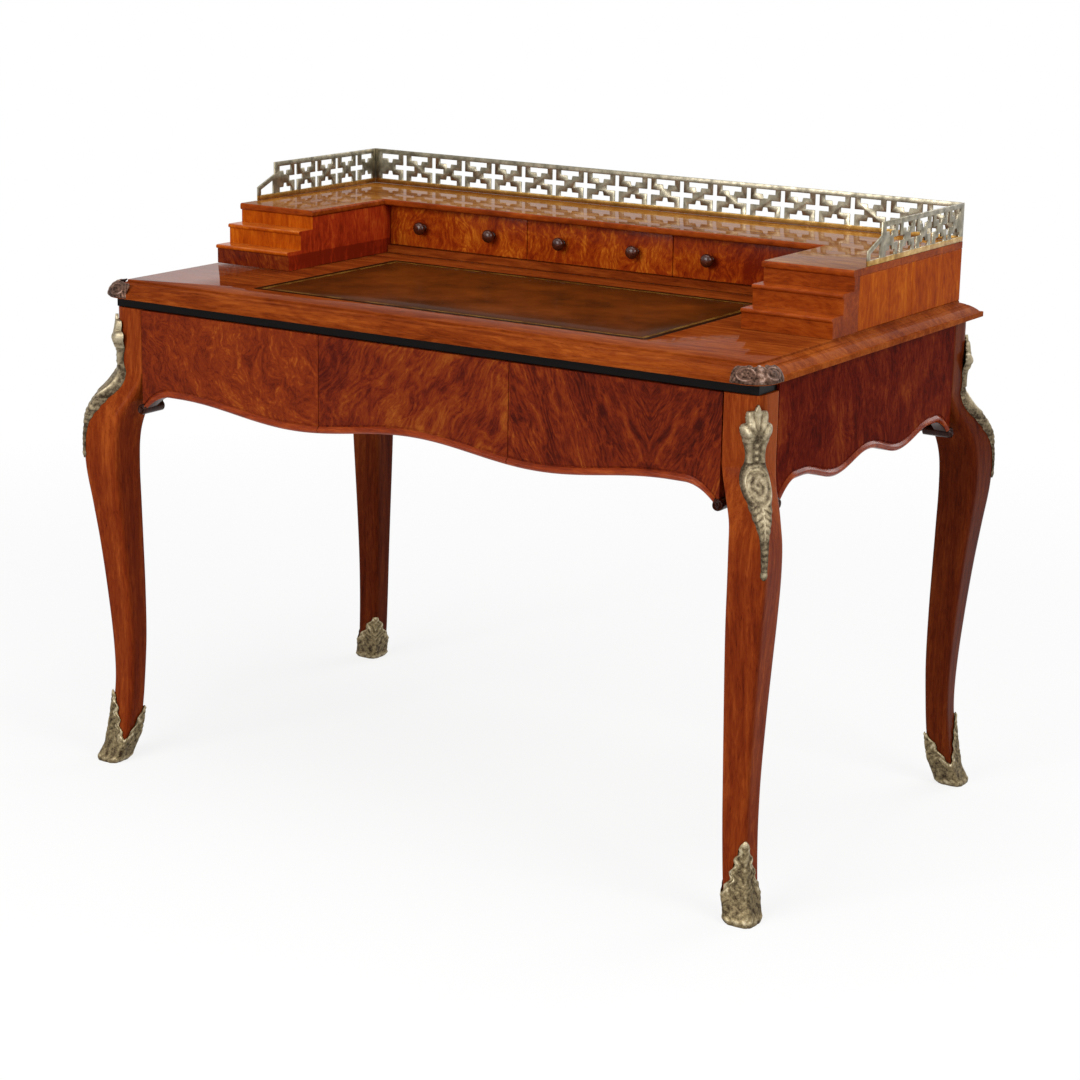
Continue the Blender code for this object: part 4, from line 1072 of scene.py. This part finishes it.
board_walnut = french_polish(
    "polished_walnut_board", ("#5a2608", "#7d4614", "#8e5820", "#a67034"), figure=(0.050, 0.240),
    streak=(0.007, 0.180), mottle=(0.007, 0.036), turn=LENGTHWAYS, curl=0.25, swirl=0.04, gloss=0.05,
    shine=0.014)
bmesh.ops.recalc_face_normals(bm, faces=bm.faces)
for face in bm.faces:
    face.material_index = int(face.normal.z < 0.9)
piece("nosed_stand_board", bm, (board_walnut, brown_veneer), "desk", "polished_veneer", "stand_top_board")

# Gallery
# Sheet brass pierced with a fretsaw in a pattern of crosses and tees, its edges filed round.
# It is pinned to the stand's outer edge in three pieces; the plain foot of each keeps more lacquer.
RAIL_FOOT = 0.0078
FOOT_BLEND = 0.0006
FRET_ROUND = 0.0006
foot_z = board_high.z + RAIL_FOOT


def sawn_brass(name):
    """Rolled sheet brass under old lacquer: silvery where it has worn, golden along the foot.
    Fine scratches from filing and polishing run along the sheet."""
    mat, tree, shader = new_material(name)
    place = node(tree, "TexCoord").outputs["Object"]
    up = node(tree, "SeparateXYZ", (place,)).outputs[2]
    foot = node(tree, "MapRange", (up, foot_z - FOOT_BLEND, foot_z + FOOT_BLEND))
    stain = node(tree, "TexNoise", {"Vector": place, "Scale": 1 / 0.012, "Detail": 4.0})
    silvery = node(tree, "ValToRGB", (stain,), stops=((0.3, "#645e50"), (0.5, "#867f6d"), (0.72, "#a99f89")))
    golden = node(tree, "ValToRGB", (stain,), stops=((0.3, "#8c6730"), (0.5, "#b08743"), (0.72, "#cfac68")))
    colour = node(tree, "Mix", {0: foot, 6: golden, 7: silvery}, data_type="RGBA").outputs[2]
    rough = node(tree, "MapRange", (stain, 0.3, 0.7, 0.40, 0.26))
    filed = node(tree, "Mapping", {"Vector": place, "Scale": (0.012, 0.012, 0.0004)}, vector_type="TEXTURE")
    lines = node(tree, "TexNoise", {"Vector": filed, "Scale": 1.0, "Detail": 2.0})
    scratched = node(tree, "Bump", {"Strength": 0.10, "Distance": 0.0002, "Height": lines})
    wire(shader, {"Base Color": colour, "Roughness": rough, "Normal": scratched, "Metallic": 1.0})
    return mat


gallery_brass = sawn_brass("lacquered_sheet_brass")
for run in ("back", "left", "right"):
    bm = bmesh.new()
    bm.from_mesh(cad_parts["gallery_" + run].data)
    bmesh.ops.remove_doubles(bm, verts=bm.verts, dist=MERGE)
    bmesh.ops.dissolve_limit(bm, angle_limit=radians(1), verts=bm.verts, edges=bm.edges)
    shared = [edge for edge in bm.edges if len(edge.link_faces) == 2]
    corners = [edge for edge in shared if edge.calc_face_angle() > radians(30)]
    rounded(bm, corners, FRET_ROUND, 2)
    piece("pierced_gallery_" + run, bm, gallery_brass, "desk", "gallery_brass", "gallery_" + run, sharp=50)

# Studio
# A pale paper floor that keeps the desk's soft shadow and fades to white, a large soft light in
# front, weaker ones from above, behind and the right, and a camera at the photograph's place.
FLOOR_RADIUS = 9.0
bm = bmesh.new()
bmesh.ops.create_circle(bm, cap_ends=True, segments=96, radius=FLOOR_RADIUS)
mesh = bpy.data.meshes.new("paper_floor")
bm.to_mesh(mesh)
bm.free()
floor = bpy.data.objects.new("paper_floor", mesh)
bpy.context.scene.collection.objects.link(floor)


def shown_white(tree):
    """1 for rays from the camera, off gloss and through glass, which all see the white surroundings."""
    path = node(tree, "LightPath").outputs
    seen = node(tree, "Math", (path["Is Camera Ray"], path["Is Glossy Ray"]), operation="MAXIMUM")
    return node(tree, "Math", (seen, path["Is Transmission Ray"]), operation="MAXIMUM")


paper, tree, shader = new_material("white_paper")
place = node(tree, "TexCoord").outputs["Object"]
reach = node(tree, "VectorMath", (place,), operation="LENGTH").outputs["Value"]
fade = node(tree, "MapRange", (reach, 0.9, 2.6, 0.82, 1.0))
share = node(tree, "Math", (shown_white(tree), fade), operation="MULTIPLY")
white = node(tree, "Emission", {"Color": (1, 1, 1, 1), "Strength": 1.0})
lit = node(tree, "BsdfDiffuse", {"Color": linear("#f2f2f2")})
blend = node(tree, "MixShader", (share, lit, white))
tree.nodes.remove(shader)
wire(tree.nodes["Material Output"], {"Surface": blend})
mesh.materials.append(paper)

# Place, aim, size and power
LIGHTS = {
    "front_light": ((-0.5, -3.6, 2.2), (0, 0, 0.55), 2.4, 112),
    "top_light": ((0.2, 0.1, 3.4), (0, 0, 0.7), 2.6, 50),
    "back_light": ((1.4, 3.8, 2.4), (0, 0, 0.55), 2.2, 48),
    "right_light": ((3.4, -0.8, 2.5), (0, 0, 0.6), 1.8, 54),
}
for name, (at, aim, size, power) in LIGHTS.items():
    lamp = bpy.data.lights.new(name, "AREA")
    lamp.size, lamp.energy = size, power
    light = bpy.data.objects.new(name, lamp)
    light.location = at
    light.rotation_euler = (Vector(aim) - Vector(at)).to_track_quat("-Z", "Y").to_euler()
    bpy.context.scene.collection.objects.link(light)

world = bpy.data.worlds.new("studio")
bpy.context.scene.world = world
world.use_nodes = True
tree = world.node_tree
strength = node(tree, "MapRange", (shown_white(tree), 0.0, 1.0, 0.18, 1.0))
wire(tree.nodes["Background"], {"Color": (1, 1, 1, 1), "Strength": strength})
bpy.context.scene.view_settings.view_transform = "Standard"

YAW, PITCH, ROLL = 0.5713, -0.2567, 0.0185
ahead = Vector((-sin(YAW) * cos(PITCH), cos(YAW) * cos(PITCH), sin(PITCH)))
level = Vector((cos(YAW), sin(YAW), 0))
above = level.cross(ahead)
right = level * cos(ROLL) + above * sin(ROLL)
up = above * cos(ROLL) - level * sin(ROLL)
lens = bpy.data.cameras.new("camera")
lens.sensor_fit, lens.sensor_width, lens.lens = "HORIZONTAL", 36.0, 87.437
camera = bpy.data.objects.new("camera", lens)
camera.matrix_world = Matrix((right, up, -ahead)).transposed().to_4x4()
camera.location = (2.1229, -3.2895, 1.4033)
bpy.context.scene.collection.objects.link(camera)
bpy.context.scene.camera = camera
